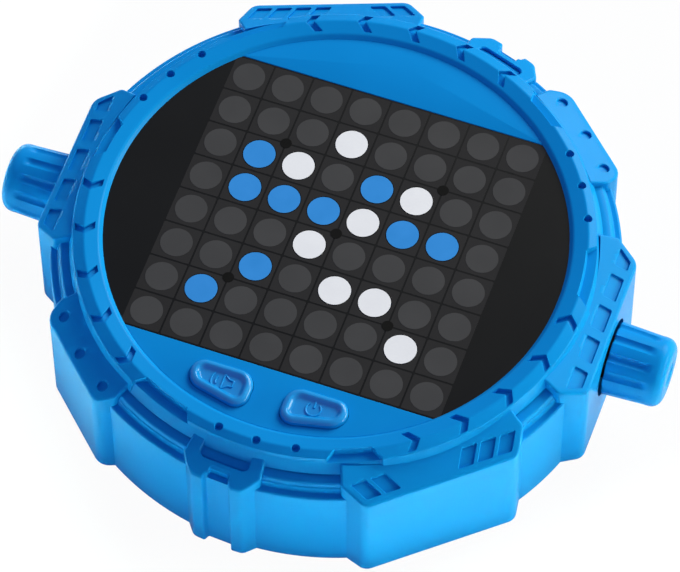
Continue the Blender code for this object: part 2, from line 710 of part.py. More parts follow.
def make_bezel(shop, blue):
    """Roofed ring with chevron steps, pin holes and slots in three equal groups."""
    profile = [
        (RIDGE_RADIUS, FACE_Z + RIDGE_HEIGHT),
        (EAVE_RADIUS, FACE_Z + EAVE_HEIGHT),
        (FLANGE_RADIUS, BEZEL_BOTTOM),
        (LIP_INNER, BEZEL_BOTTOM),
        (LIP_INNER, LIP_TOP),
        (WINDOW_RADIUS, LIP_TOP),
        (WINDOW_RADIUS, FACE_Z),
        (WINDOW_RADIUS + BROW_IN, FACE_Z + BROW_HEIGHT),
    ]
    bezel = shop.turned("bezel_ring", profile, blue)
    clear = FACE_Z + 2 * RIDGE_HEIGHT
    shelves = Shape()
    slots = Shape()
    holes = Shape()
    chevrons = Shape()
    for k in range(SECTORS):
        start = SECTOR_START + 360 / SECTORS * k
        past = FLANGE_RADIUS + LOOSE
        stop = start + SLOT_SECTOR
        steps = math.ceil(SLOT_SECTOR / FACET)
        plan = arc(SHELF_RADIUS, start, stop, steps) + arc(past, stop, start, steps)
        shelves.raised(plan, FACE_Z, clear)
        turned_by = 360 / SECTORS * k
        for low, high in (LONG_SLOT, SHORT_SLOT):
            inner = arc(RIDGE_RADIUS - SLOT_INSET, low + turned_by + SLOT_END_SLANT,
                        high + turned_by - SLOT_END_SLANT, 5)
            outer = arc(SHELF_RADIUS + SLOT_INSET / 2, high + turned_by, low + turned_by, 5)
            slots.raised(inner + outer, FACE_Z - SLOT_DEPTH, clear)
        for angle in PIN_HOLES:
            place = polar(RIDGE_RADIUS, angle + turned_by)
            holes.cylinder((*place, FACE_Z + RIDGE_HEIGHT - PIN_HOLE_DEPTH), (*place, clear),
                           PIN_HOLE_RADIUS, steps=HOLE_STEPS)
        for angle in CHEVRONS:
            chevrons.loft(chevron(angle + turned_by, clear))
    shop.cut(bezel, "bezel_shelves", shelves)
    shop.cut(bezel, "bezel_slots", slots)
    shop.cut(bezel, "bezel_holes", holes)
    shop.cut(bezel, "bezel_chevrons", chevrons)
    return bezel


def chevron(angle, clear):
    """Sections of one chevron: a V channel pointing along the ring, deepest under its leading edge."""
    sections = []
    for offset in (-CHEVRON_REACH, 0, CHEVRON_REACH):
        radius = RIDGE_RADIUS + offset
        trail = CHEVRON_TRAIL * abs(offset) / CHEVRON_REACH
        edge = angle - math.degrees(trail / RIDGE_RADIUS)
        tail = edge - math.degrees(CHEVRON_WIDTH / RIDGE_RADIUS)
        roof = roof_height(radius)
        sections.append([
            (*polar(radius, edge), roof - CHEVRON_DEPTH),
            (*polar(radius, edge), clear),
            (*polar(radius, tail), clear),
            (*polar(radius, tail), roof - CHEVRON_TAIL),
        ])
    return sections


def window_plan(half, radius):
    """The display's outline: a circle cut by two level chords."""
    angle = math.degrees(math.asin(half / radius))
    return arc(radius, -angle, angle, 17) + arc(radius, 180 - angle, 180 + angle, 17)


def key_plan(side, grow=0.0):
    """A key's outline on the -X or +X side, grown outward by the given amount."""
    inner = KEY_INNER - grow
    outer = KEY_INNER + KEY_WIDTH + grow
    top = KEY_TOP_Y + grow
    reach = KEY_ARC + grow
    corners = [Vector((inner, top)), Vector((inner, -math.sqrt(reach**2 - inner**2)))]
    corners += [Vector((outer, -math.sqrt(reach**2 - outer**2))), Vector((outer, top))]
    return [Vector((side * p.x, p.y)) for p in rounded(corners, KEY_ROUND + grow, 3)]


def make_face(shop, blue):
    """Face plate: a rebate takes the display panel, and two openings take the keys."""
    disc = Shape().cylinder((0, 0, PLATE_BOTTOM), (0, 0, FACE_Z), FACE_RADIUS, steps=ROUND_STEPS)
    plate = shop.solid("face_plate", disc, blue)
    rebate = FACE_Z - PANEL_SUNK - PANEL_THICK - SEAT
    past = FACE_RADIUS + LOOSE
    shop.cut(plate, "panel_rebate", Shape().raised(window_plan(DISPLAY_HALF, past), rebate, FACE_Z + LOOSE))
    opening = window_plan(DISPLAY_HALF - PLATE_LEDGE, FACE_RADIUS - PLATE_LEDGE)
    shop.cut(plate, "light_opening", Shape().raised(opening, PLATE_BOTTOM - LOOSE, FACE_Z + LOOSE))
    keys = Shape()
    for side in (-1, 1):
        keys.raised(key_plan(side, SEAT), PLATE_BOTTOM - LOOSE, FACE_Z + LOOSE)
    shop.cut(plate, "key_openings", keys)


def make_display(shop, black, white, dark):
    """Smoked panel, diffuser and the egg-crate that keeps each cell's light apart."""
    top = FACE_Z - PANEL_SUNK
    panel = Shape().raised(window_plan(DISPLAY_HALF - SEAT, FACE_RADIUS), top - PANEL_THICK, top)
    shop.solid("display_panel", panel, black)
    sheet = Shape().raised(window_plan(DISPLAY_HALF, LIP_INNER - SEAT), LIP_TOP - DIFFUSER_THICK, LIP_TOP)
    shop.solid("diffuser_sheet", sheet, white)
    crate = Shape().box((-GRID_OUTER, -GRID_OUTER, GRID_BOTTOM), (GRID_OUTER, GRID_OUTER, GRID_TOP))
    grid = shop.solid("light_grid", crate, dark)
    wells = Shape()
    half = (CELL - GRID_WALL) / 2
    for x, y in cell_centres():
        wells.box((x - half, y - half, GRID_BOTTOM - LOOSE), (x + half, y + half, GRID_TOP + LOOSE))
    shop.cut(grid, "light_wells", wells)


def cell_centres():
    """Plan places of the playing cells."""
    steps = [(i - (CELLS_PER_SIDE - 1) / 2) * CELL for i in range(CELLS_PER_SIDE)]
    return [(x, y) for y in steps for x in steps]


def make_board(shop, green, steel):
    """Main board clipped beside the encoders, with one light for each cell, on four screws."""
    side = math.degrees(math.acos(BOARD_HALF_X / BOARD_RADIUS))
    plan = arc(BOARD_RADIUS, side, 180 - side, 19) + arc(BOARD_RADIUS, 180 + side, 360 - side, 19)
    board = shop.solid("main_board", Shape().raised(plan, BOARD_BOTTOM, BOARD_TOP), green)
    lights = Shape()
    half = LIGHT_SIDE / 2
    root = BOARD_TOP - BOARD_THICK / 4
    for x, y in cell_centres():
        lights.box((x - half, y - half, root), (x + half, y + half, BOARD_TOP + LIGHT_HEIGHT))
    shop.join(board, "board_lights", lights)
    holes = Shape()
    for place in post_places(BOARD_POST_R, BOARD_POSTS):
        holes.cylinder((*place, BOARD_BOTTOM - LOOSE), (*place, BOARD_TOP + LOOSE), SCREW_RADIUS + SEAT)
    for place in post_places(CASE_POST_R, CASE_POSTS):
        holes.cylinder((*place, BOARD_BOTTOM - LOOSE), (*place, BOARD_TOP + LOOSE), CASE_POST_RADIUS + LOOSE)
    shop.cut(board, "board_holes", holes)
    for k, place in enumerate(post_places(BOARD_POST_R, BOARD_POSTS), 1):
        make_screw(shop, f"board_screw_{k}", place, BOARD_BOTTOM - SEAT, BOARD_SCREW_LENGTH, steel)


def make_screw(shop, name, place, seat, length, steel):
    """Pan-head screw driven upward, its head under the given height."""
    profile = [
        (0, length),
        (SCREW_RADIUS, length),
        (SCREW_RADIUS, 0),
        (SCREW_HEAD_RADIUS, 0),
        (SCREW_HEAD_RADIUS, SCREW_HEAD_CROWN - SCREW_HEAD),
        (SCREW_HEAD_RADIUS - SCREW_HEAD_CROWN, -SCREW_HEAD),
        (0, -SCREW_HEAD),
    ]
    shop.turned(name, profile, steel, origin=(*place, seat), steps=SMALL_STEPS)


def screw_bore(place, mouth, seat, end):
    """Stations of a screw's hole from below: wide for the head up to its seat, then narrow."""
    head = SCREW_HEAD_RADIUS + SEAT
    hole = SCREW_RADIUS + SEAT
    return [((*place, mouth), head), ((*place, seat), head), ((*place, seat), hole), ((*place, end), hole)]


def make_keys(shop, blue, dark):
    """Sound and power keys with their flange and stem, over one switch each on the board."""
    for side, name in ((-1, "sound"), (1, "power")):
        place = (side * KEY_CENTRE.x, KEY_CENTRE.y)
        body = Shape().raised(key_plan(side), KEY_FLANGE_TOP - KEY_FLANGE_THICK / 2, FACE_Z + KEY_PROUD)
        key = shop.solid(f"{name}_button", body, blue, origin=(*place, FACE_Z))
        flange = Shape().raised(key_plan(side, KEY_FLANGE), KEY_FLANGE_BOTTOM, KEY_FLANGE_TOP)
        shop.join(key, f"{name}_flange", flange)
        stem_top = KEY_FLANGE_BOTTOM + KEY_FLANGE_THICK / 3
        stem = Shape().cylinder((*place, KEY_STEM_END), (*place, stem_top), KEY_STEM_RADIUS)
        shop.join(key, f"{name}_stem", stem)
        dish = Shape().raised(key_plan(side, -KEY_RIM), FACE_Z + KEY_PROUD - KEY_DISH, FACE_Z + 2 * KEY_PROUD)
        shop.cut(key, f"{name}_dish", dish)
        bottom = BOARD_TOP + SEAT
        half = SWITCH_SIDE / 2
        case = Shape().box((place[0] - half, place[1] - half, bottom),
                           (place[0] + half, place[1] + half, bottom + SWITCH_HEIGHT))
        switch = shop.solid(f"{name}_switch", case, dark)
        nub = Shape()
        nub.cylinder((*place, bottom + SWITCH_HEIGHT / 2), (*place, SWITCH_TOP), SWITCH_BUTTON_RADIUS)
        shop.join(switch, f"{name}_switch_nub", nub)


def make_dials(shop, blue, steel, dark):
    """Each side: encoder with its bush and nut, push plunger, shaft and fluted dial on one axis along X."""
    for side, name in ((-1, "left"), (1, "right")):
        aim = (0, side * math.pi / 2, 0)
        axis = (0, 0, DIAL_Z)
        make_encoder(shop, name, side, dark)
        plunger = rod(SHAFT_RADIUS, PLUNGER_X, PLUNGER_X + PLUNGER_LENGTH)
        shop.turned(f"{name}_plunger", plunger, steel, axis, aim, SMALL_STEPS)
        shaft = rod(SHAFT_RADIUS, SHAFT_START_X, SHAFT_END_X)
        shop.turned(f"{name}_shaft", shaft, steel, axis, aim, SMALL_STEPS)
        make_nut(shop, name, side, steel)
        make_dial(shop, name, side, blue)


def rod(radius, start, end):
    """Profile of a plain rod between two heights along its axis."""
    return [(0, end), (radius, end), (radius, start), (0, start)]


def make_encoder(shop, name, side, dark):
    """Square encoder body inside the wall, its round bush passing out through the dial lug."""
    half = ENCODER_SIDE / 2
    xs = sorted((side * ENCODER_BACK_X, side * ENCODER_FRONT_X))
    body = Shape().box((xs[0], -half, DIAL_Z - half), (xs[1], half, DIAL_Z + half))
    encoder = shop.solid(f"{name}_encoder", body, dark)
    middle = (ENCODER_BACK_X + ENCODER_FRONT_X) / 2
    bush = Shape().cylinder((side * middle, 0, DIAL_Z), (side * BUSH_END_X, 0, DIAL_Z), BUSH_RADIUS, steps=24)
    shop.join(encoder, f"{name}_bush", bush)
    bore = Shape().cylinder((side * (ENCODER_BACK_X + ENCODER_BACK), 0, DIAL_Z),
                            (side * (BUSH_END_X + LOOSE), 0, DIAL_Z), SHAFT_HOLE_RADIUS)
    shop.cut(encoder, f"{name}_bush_bore", bore)


def make_nut(shop, name, side, steel):
    """Hexagon nut that clamps the encoder's bush to the case."""
    corner = NUT_FLATS / math.sqrt(3)
    start, end = (side * NUT_X, 0, DIAL_Z), (side * (NUT_X + NUT_THICK), 0, DIAL_Z)
    nut = shop.solid(f"{name}_nut", Shape().cylinder(start, end, corner, steps=HEX_SIDES), steel)
    past = (side * (NUT_X + NUT_THICK + LOOSE), 0, DIAL_Z)
    before = (side * (NUT_X - LOOSE), 0, DIAL_Z)
    shop.cut(nut, f"{name}_nut_bore", Shape().cylinder(before, past, BUSH_RADIUS + SEAT, steps=24))


def make_dial(shop, name, side, blue):
    """Tapered dial, hollow at its base round the nut, with flutes that stop short of the rounded tip."""
    end = DIAL_BASE_X + DIAL_LENGTH
    hollow = DIAL_BASE_RADIUS - DIAL_SKIN
    taper = (DIAL_BASE_RADIUS - DIAL_TIP_RADIUS) / DIAL_LENGTH
    shoulder = DIAL_TIP_RADIUS + taper * DIAL_ROUND
    tip = [
        (DIAL_TIP_RADIUS - DIAL_ROUND * (1 - math.sin(a)), end - DIAL_ROUND * (1 - math.cos(a)))
        for a in (0, math.pi / 6, math.pi / 3)
    ]
    profile = [
        (0, end - DIAL_DIMPLE),
        (DIAL_DIMPLE_RADIUS - 2 * DIAL_DIMPLE, end - DIAL_DIMPLE),
        (DIAL_DIMPLE_RADIUS, end),
        *tip,
        (shoulder, end - DIAL_ROUND),
        (DIAL_BASE_RADIUS, DIAL_BASE_X),
        (hollow, DIAL_BASE_X),
        (hollow, HOLLOW_X),
        (SHAFT_RADIUS + SEAT, HOLLOW_X),
        (SHAFT_RADIUS + SEAT, SHAFT_END_X + SEAT),
        (0, SHAFT_END_X + SEAT),
    ]
    dial = shop.turned(f"{name}_knob", profile, blue, (0, 0, DIAL_Z), (0, side * math.pi / 2, 0), 2 * FLUTES)
    flutes = Shape()
    start_x = DIAL_BASE_X - LOOSE
    stop_x = end - FLUTE_STOP
    stand = FLUTE_RADIUS - FLUTE_DEPTH
    for k in range(FLUTES):
        spin = 2 * math.pi * (k + 0.5) / FLUTES
        low = (DIAL_BASE_RADIUS + stand) * Vector((math.cos(spin), math.sin(spin)))
        high = (DIAL_BASE_RADIUS - taper * (stop_x - DIAL_BASE_X) + stand) * low.normalized()
        flutes.cylinder((*low, start_x), (*high, stop_x), FLUTE_RADIUS, steps=8)
    tool = shop.helper(f"{name}_flutes", flutes.mesh(f"{name}_flutes"))
    tool.location = dial.location
    tool.rotation_euler = dial.rotation_euler
    boolean(dial, "DIFFERENCE", tool)


def make_cover(shop, blue, dark, steel):
    """Bottom cover with its battery bay, speaker ring and grille, screwed up into the case's posts."""
    disc = Shape().cylinder((0, 0, COVER_BOTTOM), (0, 0, COVER_TOP), COVER_RADIUS, steps=ROUND_STEPS)
    cover = shop.solid("bottom_cover", disc, blue)
    outer_x = DOOR_HALF_X + BAY_WALL
    low_y = DOOR_LOW_Y - BAY_WALL
    high_y = DOOR_HIGH_Y + BAY_WALL
    raised = Shape().box((-outer_x, low_y, BAY_FLOOR), (outer_x, high_y, BAY_CEILING + BAY_ROOF))
    shop.join(cover, "bay_block", raised)
    speaker = (0, SPEAKER_CENTRE_Y)
    ring_radius = SPEAKER_RADIUS + SEAT
    fence_top = COVER_TOP + SPEAKER_RING_HEIGHT
    fence = Shape()
    fence.cylinder((*speaker, COVER_BOTTOM + COVER_THICK / 2), (*speaker, fence_top),
                   ring_radius + SPEAKER_RING, steps=24)
    shop.join(cover, "speaker_fence", fence)
    under = COVER_BOTTOM - LOOSE
    inside = Shape()
    inside.cylinder((*speaker, COVER_TOP), (*speaker, fence_top + LOOSE), ring_radius, steps=24)
    inside.box((-BAY_HALF_X, BAY_CENTRE_Y - BAY_HALF_Y, under),
               (BAY_HALF_X, BAY_CENTRE_Y + BAY_HALF_Y, BAY_CEILING))
    for place in post_places(CASE_POST_R, CASE_POSTS):
        inside.stepped(screw_bore(place, under, HEAD_SEAT, COVER_TOP + LOOSE))
    for place in post_places(FOOT_R, FEET):
        inside.cylinder((*place, under), (*place, COVER_BOTTOM + FOOT_RECESS), FOOT_RADIUS + SEAT, steps=18)
    boss_seat = (0, DOOR_SCREW_Y, DOOR_BOSS_TOP + SEAT)
    boss = DOOR_BOSS_RADIUS + SEAT
    hole = SCREW_RADIUS + SEAT
    screw_end = (0, DOOR_SCREW_Y, HEAD_SEAT + SCREW_LENGTH)
    inside.stepped([((0, DOOR_SCREW_Y, under), boss), (boss_seat, boss), (boss_seat, hole), (screw_end, hole)])
    shop.cut(cover, "cover_hollows", inside)
    outside = Shape()
    outside.box((-DOOR_HALF_X - SEAT, DOOR_LOW_Y - SEAT, under),
                (DOOR_HALF_X + SEAT, DOOR_HIGH_Y + SEAT, BAY_FLOOR))
    for k in range(GRILLE_BARS):
        across = (k - (GRILLE_BARS - 1) / 2) * GRILLE_PITCH
        reach = math.sqrt((SPEAKER_RADIUS - GRILLE_SLOT) ** 2 - across**2)
        outside.box((-reach, SPEAKER_CENTRE_Y + across - GRILLE_SLOT / 2, under),
                    (reach, SPEAKER_CENTRE_Y + across + GRILLE_SLOT / 2, COVER_TOP + LOOSE))
    shop.cut(cover, "cover_openings", outside)
    tabs = Shape()
    for x in (-DOOR_TAB_X, DOOR_TAB_X):
        half = DOOR_TAB_WIDTH / 2 + SEAT
        tabs.box((x - half, DOOR_LOW_Y - DOOR_TAB_REACH - SEAT, DOOR_TOP - DOOR_TAB_THICK - SEAT),
                 (x + half, DOOR_LOW_Y, BAY_FLOOR + LOOSE))
    shop.cut(cover, "tab_slots", tabs)
    for k, place in enumerate(post_places(CASE_POST_R, CASE_POSTS), 1):
        make_screw(shop, f"case_screw_{k}", place, HEAD_SEAT - SEAT, SCREW_LENGTH, steel)
    for k, place in enumerate(post_places(FOOT_R, FEET), 1):
        profile = rod(FOOT_RADIUS, 0, COVER_BOTTOM + FOOT_RECESS - SEAT)
        shop.turned(f"foot_{k}", profile, dark, origin=(*place, 0), steps=18)


def make_battery_door(shop, blue, steel):
    """Door under the batteries: two tabs hook the cover, one screw holds the other side."""
    plate = Shape().box((-DOOR_HALF_X, DOOR_LOW_Y, COVER_BOTTOM), (DOOR_HALF_X, DOOR_HIGH_Y, DOOR_TOP))
    door = shop.solid("battery_door", plate, blue)
    tabs = Shape()
    half = DOOR_TAB_WIDTH / 2
    for x in (-DOOR_TAB_X, DOOR_TAB_X):
        tabs.box((x - half, DOOR_LOW_Y - DOOR_TAB_REACH, DOOR_TOP - DOOR_TAB_THICK),
                 (x + half, DOOR_LOW_Y + DOOR_TAB_REACH, DOOR_TOP))
    shop.join(door, "door_tabs", tabs)
    place = Vector((0, DOOR_SCREW_Y))
    boss = Shape().cylinder((*place, DOOR_TOP - DOOR_THICK / 2), (*place, DOOR_BOSS_TOP), DOOR_BOSS_RADIUS)
    shop.join(door, "door_boss", boss)
    hole = Shape().stepped(screw_bore(place, COVER_BOTTOM - LOOSE, HEAD_SEAT, DOOR_BOSS_TOP + LOOSE))
    shop.cut(door, "door_screw_hole", hole)
    make_screw(shop, "door_screw", place, HEAD_SEAT - SEAT, SCREW_LENGTH, steel)


def make_batteries(shop, dark, gold):
    """Three cells side by side, turned end for end, between two contact strips with sprung cones."""
    body_end = BATTERY_LENGTH / 2
    profile = [
        (0, body_end + BATTERY_NUB),
        (BATTERY_NUB_RADIUS, body_end + BATTERY_NUB),
        (BATTERY_NUB_RADIUS, body_end),
        (BATTERY_RADIUS, body_end),
        (BATTERY_RADIUS, -body_end),
        (0, -body_end),
    ]
    rows = [BAY_CENTRE_Y + (k - (BATTERY_COUNT - 1) / 2) * BATTERY_PITCH for k in range(BATTERY_COUNT)]
    for k, y in enumerate(rows):
        way = 1 if k % 2 == 0 else -1
        shop.turned(f"battery_{k + 1}", profile, dark, (0, y, BATTERY_Z), (0, way * math.pi / 2, 0), 18)
    for side, name in ((-1, "left"), (1, "right")):
        back = BAY_HALF_X - SEAT
        front = back - CONTACT_THICK
        xs = sorted((side * back, side * front))
        low, high = rows[0] - BATTERY_RADIUS, rows[-1] + BATTERY_RADIUS
        strip = Shape()
        strip.box((xs[0], low, BATTERY_Z - BATTERY_RADIUS), (xs[1], high, BATTERY_Z + BATTERY_RADIUS))
        contact = shop.solid(f"{name}_contact", strip, gold)
        cones = Shape()
        for k, y in enumerate(rows):
            nub_here = (k % 2 == 0) == (side > 0)
            tip = body_end + SEAT + (BATTERY_NUB if nub_here else 0)
            root = back - CONTACT_THICK / 2
            cones.cylinder((side * root, y, BATTERY_Z), (side * tip, y, BATTERY_Z), CONTACT_SPRING_RADIUS,
                           CONTACT_TIP_RADIUS)
        shop.join(contact, f"{name}_contact_cones", cones)


def make_speaker(shop, dark):
    """Small round speaker, its cone facing the grille."""
    bottom = COVER_TOP + SEAT
    profile = [
        (0, SPEAKER_HEIGHT),
        (SPEAKER_MAGNET_RADIUS, SPEAKER_HEIGHT),
        (SPEAKER_MAGNET_RADIUS, SPEAKER_RIM),
        (SPEAKER_RADIUS, SPEAKER_RIM),
        (SPEAKER_RADIUS, 0),
        (SPEAKER_CONE_RADIUS, 0),
        (SPEAKER_DOME_RADIUS, SPEAKER_CONE_DEPTH),
        (0, SPEAKER_CONE_DEPTH),
    ]
    shop.turned("speaker", profile, dark, origin=(0, SPEAKER_CENTRE_Y, bottom), steps=24)


def main():
    for obj in list(bpy.data.objects):
        bpy.data.objects.remove(obj)
    shop = Workshop(collection("disc_flipping_game"), collection("cutters"))
    blue = finish("blue_plastic", BLUE, 0.35)
    black = finish("smoked_panel", BLACK, 0.2)
    white = finish("diffuser_white", WHITE, 0.5)
    green = finish("board_green", GREEN, 0.5)
    steel = finish("steel", STEEL, 0.35, 1.0)
    dark = finish("dark_plastic", DARK, 0.6)
    gold = finish("contact_metal", GOLD, 0.3, 1.0)
    make_housing(shop, blue)
    make_bezel(shop, blue)
    make_face(shop, blue)
    make_display(shop, black, white, dark)
    make_board(shop, green, steel)
    make_keys(shop, blue, dark)
    make_dials(shop, blue, steel, dark)
    make_cover(shop, blue, dark, steel)
    make_battery_door(shop, blue, steel)
    make_batteries(shop, dark, gold)
    make_speaker(shop, dark)
    for made in shop.parts.objects:
        if "turn" in made.modifiers:
            made.modifiers.new("shading", "WEIGHTED_NORMAL")


main()
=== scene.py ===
# %% [markdown]
# # A round disc-flipping game, dressed for its portrait
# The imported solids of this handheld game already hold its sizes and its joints. What they lack is what the
# eye reads as moulded plastic: rounded edges, soft steps, printed marks and finishes. This lesson adds
# them, one piece at a time, and each new piece is a surface worked out with numpy on a grid of two
# parameters.

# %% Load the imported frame
import json

import bmesh
import bpy
import numpy as np
from mathutils import Matrix, Vector


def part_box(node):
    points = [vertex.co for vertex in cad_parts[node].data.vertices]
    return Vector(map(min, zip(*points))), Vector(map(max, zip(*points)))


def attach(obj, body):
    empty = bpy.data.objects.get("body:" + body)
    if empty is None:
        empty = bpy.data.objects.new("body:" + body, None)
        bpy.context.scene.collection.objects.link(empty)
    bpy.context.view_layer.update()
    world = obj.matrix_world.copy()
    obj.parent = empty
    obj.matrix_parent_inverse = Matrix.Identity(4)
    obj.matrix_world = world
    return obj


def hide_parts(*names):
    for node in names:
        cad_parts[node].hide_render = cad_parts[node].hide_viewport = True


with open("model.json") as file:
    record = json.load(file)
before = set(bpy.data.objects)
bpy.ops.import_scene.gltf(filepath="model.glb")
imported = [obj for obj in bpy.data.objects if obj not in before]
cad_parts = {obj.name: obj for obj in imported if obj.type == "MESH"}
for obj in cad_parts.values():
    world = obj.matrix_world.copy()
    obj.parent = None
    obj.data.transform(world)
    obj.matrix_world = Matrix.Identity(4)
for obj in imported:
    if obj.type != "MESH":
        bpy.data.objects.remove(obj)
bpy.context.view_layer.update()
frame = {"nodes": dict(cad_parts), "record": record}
nodes = frame["nodes"]

# %% [markdown]
# ## Sizes taken from the frame
# A dressed piece has to sit exactly where its solid sits, so the main heights and radii are read from the
# solids' boxes. Only sizes that a box can't give, such as the width of a printed cell, are written as
# numbers. SEAT is the hair of air that two mouldings leave between each other.

# %% Main heights and radii
MM = 0.001
CELL = 9.5 * MM
SEAT = 0.3 * MM
BROAD_PROUD = 1.0 * MM

face_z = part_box("face_plate")[1].z
face_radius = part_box("face_plate")[1].x
flange_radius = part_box("bezel_ring")[1].x
bezel_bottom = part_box("bezel_ring")[0].z
lug_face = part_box("housing")[1].x
case_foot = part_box("housing")[0].z
panel_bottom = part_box("display_panel")[0].z
panel_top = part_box("display_panel")[1].z
panel_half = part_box("display_panel")[1].y

window_radius = face_radius + SEAT
wall_radius = lug_face - BROAD_PROUD
lug_inner = flange_radius + SEAT
deck_z = bezel_bottom - SEAT
print("face at", round(face_z, 4), "window", round(window_radius, 5), "flange", round(flange_radius, 5),
      "wall", round(wall_radius, 5), "deck", round(deck_z, 4))

# %% [markdown]
# ## The camera
# The portrait is taken from high in front, turned a little to the right, with a long lens, so that the
# round case shows as an ellipse with hardly any perspective. The angles come from fitting a pinhole camera
# to the board's rows of discs.

# %% Camera
IMAGE_WIDTH = 680
SENSOR_WIDTH = 36.0
FOCAL_PIXELS = 5113.3
CAMERA_DISTANCE = 1149.8 * MM
azimuth, elevation, roll = np.radians([19.99, 58.91, -0.34])
look_at = Vector((5.49 * MM, -12.76 * MM, face_z))

level_reach = np.cos(elevation)
back = Vector((np.sin(azimuth) * level_reach, -np.cos(azimuth) * level_reach, np.sin(elevation)))
camera_lens = bpy.data.cameras.new("portrait_camera")
camera_lens.sensor_width = SENSOR_WIDTH
camera_lens.lens = FOCAL_PIXELS / IMAGE_WIDTH * SENSOR_WIDTH
camera = bpy.data.objects.new("portrait_camera", camera_lens)
bpy.context.scene.collection.objects.link(camera)
turned_back = back.to_track_quat("Z", "Y").to_matrix().to_4x4()
camera.matrix_world = (Matrix.Translation(look_at + back * CAMERA_DISTANCE) @ turned_back
                       @ Matrix.Rotation(roll, 4, "Z"))
bpy.context.scene.camera = camera
bpy.context.scene.view_settings.view_transform = "Standard"
print("camera at", np.round(camera.location, 4).tolist(), "lens", round(camera_lens.lens, 1))

# %% [markdown]
# ## From numbers to a mesh
# A grid of points is enough to describe a smooth surface: every four neighbours make one face. Where a row
# of the grid shrinks to one point, as at the middle of a disc, its points are merged, so poles and seams
# close by themselves.

# %% Points and faces to an object
MERGE_REACH = 1e-7
SLIVER = 1e-8
SHARP_BEND = 35


def solid(name, points, faces, sharp=SHARP_BEND):
    """Points (n, 3) and faces (m, k) as one object: doubles merged, faces turned outwards, shaded smooth
    except across edges that bend by more than the sharp angle in degrees."""
    mesh = bpy.data.meshes.new(name)
    mesh.vertices.add(len(points))
    mesh.vertices.foreach_set("co", points.astype(np.float32).ravel())
    mesh.loops.add(faces.size)
    mesh.loops.foreach_set("vertex_index", faces.astype(np.int32).ravel())
    mesh.polygons.add(len(faces))
    mesh.polygons.foreach_set("loop_start", np.arange(0, faces.size, faces.shape[1], dtype=np.int32))
    mesh.update(calc_edges=True)
    work = bmesh.new()
    work.from_mesh(mesh)
    bmesh.ops.remove_doubles(work, verts=work.verts, dist=MERGE_REACH)
    bmesh.ops.dissolve_degenerate(work, edges=work.edges, dist=SLIVER)
    bmesh.ops.recalc_face_normals(work, faces=work.faces)
    work.to_mesh(mesh)
    work.free()
    mesh.shade_smooth()
    mesh.set_sharp_from_angle(angle=np.radians(sharp))
    piece = bpy.data.objects.new(name, mesh)
    bpy.context.scene.collection.objects.link(piece)
    return piece


def grid_faces(rows, columns, wrap_rows, wrap_columns):
    """Four neighbours of a grid make one face; a wrapped direction joins its last line to its first."""
    index = np.arange(rows * columns).reshape(rows, columns)
    index = np.vstack([index, index[:1]]) if wrap_rows else index
    index = np.hstack([index, index[:, :1]]) if wrap_columns else index
    corners = [index[:-1, :-1], index[:-1, 1:], index[1:, 1:], index[1:, :-1]]
    return np.stack(corners, axis=-1).reshape(-1, 4)


def surface(name, points, wrap_rows=True, wrap_columns=True, sharp=SHARP_BEND):
    """A closed skin over a grid of points shaped (rows, columns, 3)."""
    faces = grid_faces(*points.shape[:2], wrap_rows, wrap_columns)
    return solid(name, points.reshape(-1, 3), faces, sharp)


print("faces of an open grid of 3 by 4 points:", len(grid_faces(3, 4, False, False)))

# %% [markdown]
# ## Outlines and profiles
# Moulded corners are never sharp. So an outline or a profile is written as a few corners, each with its own
# rounding, and one function turns the corners into arcs. Another spaces points evenly along a line, which
# keeps the faces of a skin alike in size.

# %% Soft corners and even spacing
def soften(corners, reach, steps=6):
    """A closed outline with its corners rounded: each corner C becomes the circular arc from A to B on its
    two sides, the conic ((1-t)^2 A + 2wt(1-t) C + t^2 B) / ((1-t)^2 + 2wt(1-t) + t^2), where w is the sine
    of half the corner's angle. A and B lie at most reach from C and never past the middle of a side."""
    corner = np.asarray(corners, float)
    before = np.roll(corner, 1, axis=0) - corner
    after = np.roll(corner, -1, axis=0) - corner
    length_before = np.linalg.norm(before, axis=1)
    length_after = np.linalg.norm(after, axis=1)
    set_back = np.minimum(np.broadcast_to(reach, len(corner)), np.minimum(length_before, length_after) / 2)
    first = (corner + before * (set_back / length_before)[:, None])[:, None]
    last = (corner + after * (set_back / length_after)[:, None])[:, None]
    opening = np.sum(before * after, axis=1) / (length_before * length_after)
    weight = np.sqrt(np.clip((1 - opening) / 2, 0, 1))[:, None, None]
    t = np.linspace(0, 1, steps)[None, :, None]
    pull = 2 * weight * t * (1 - t)
    arcs = ((1 - t)**2 * first + pull * corner[:, None] + t**2 * last) / ((1 - t)**2 + pull + t**2)
    return arcs.reshape(-1, 2)


def soft_profile(corners, steps=6):
    """A profile from corners (r, z, rounding in millimetres), each softened by its own rounding."""
    corners = np.asarray(corners, float)
    return soften(corners[:, :2], corners[:, 2] * MM, steps)


def resample(line, count):
    """Points spaced evenly by length along an open line."""
    walked = np.concatenate([[0], np.cumsum(np.linalg.norm(np.diff(line, axis=0), axis=1))])
    at = np.linspace(0, walked[-1], count)
    return np.stack([np.interp(at, walked, line[:, k]) for k in range(line.shape[1])], axis=1)


print("points of a softened square:", len(soften([(0, 0), (1, 0), (1, 1), (0, 1)], 0.1)))

# %% [markdown]
# ## Round and round
# Nearly everything on this game is laid out round its upright axis, so a few helpers think in polar terms:
# a place by radius and angle, a plan turned about the axis, a profile carried all the way round.

# %% Polar helpers
def turned(profile, columns=240):
    """A turned form: a profile point (r, z) at turn t lies at (r cos t, r sin t, z)."""
    turn = np.linspace(0, 2 * np.pi, columns, endpoint=False)
    radius, height = np.asarray(profile, float).T
    level = np.broadcast_to(height[:, None], (len(height), columns))
    return np.stack([np.outer(radius, np.cos(turn)), np.outer(radius, np.sin(turn)), level], axis=-1)


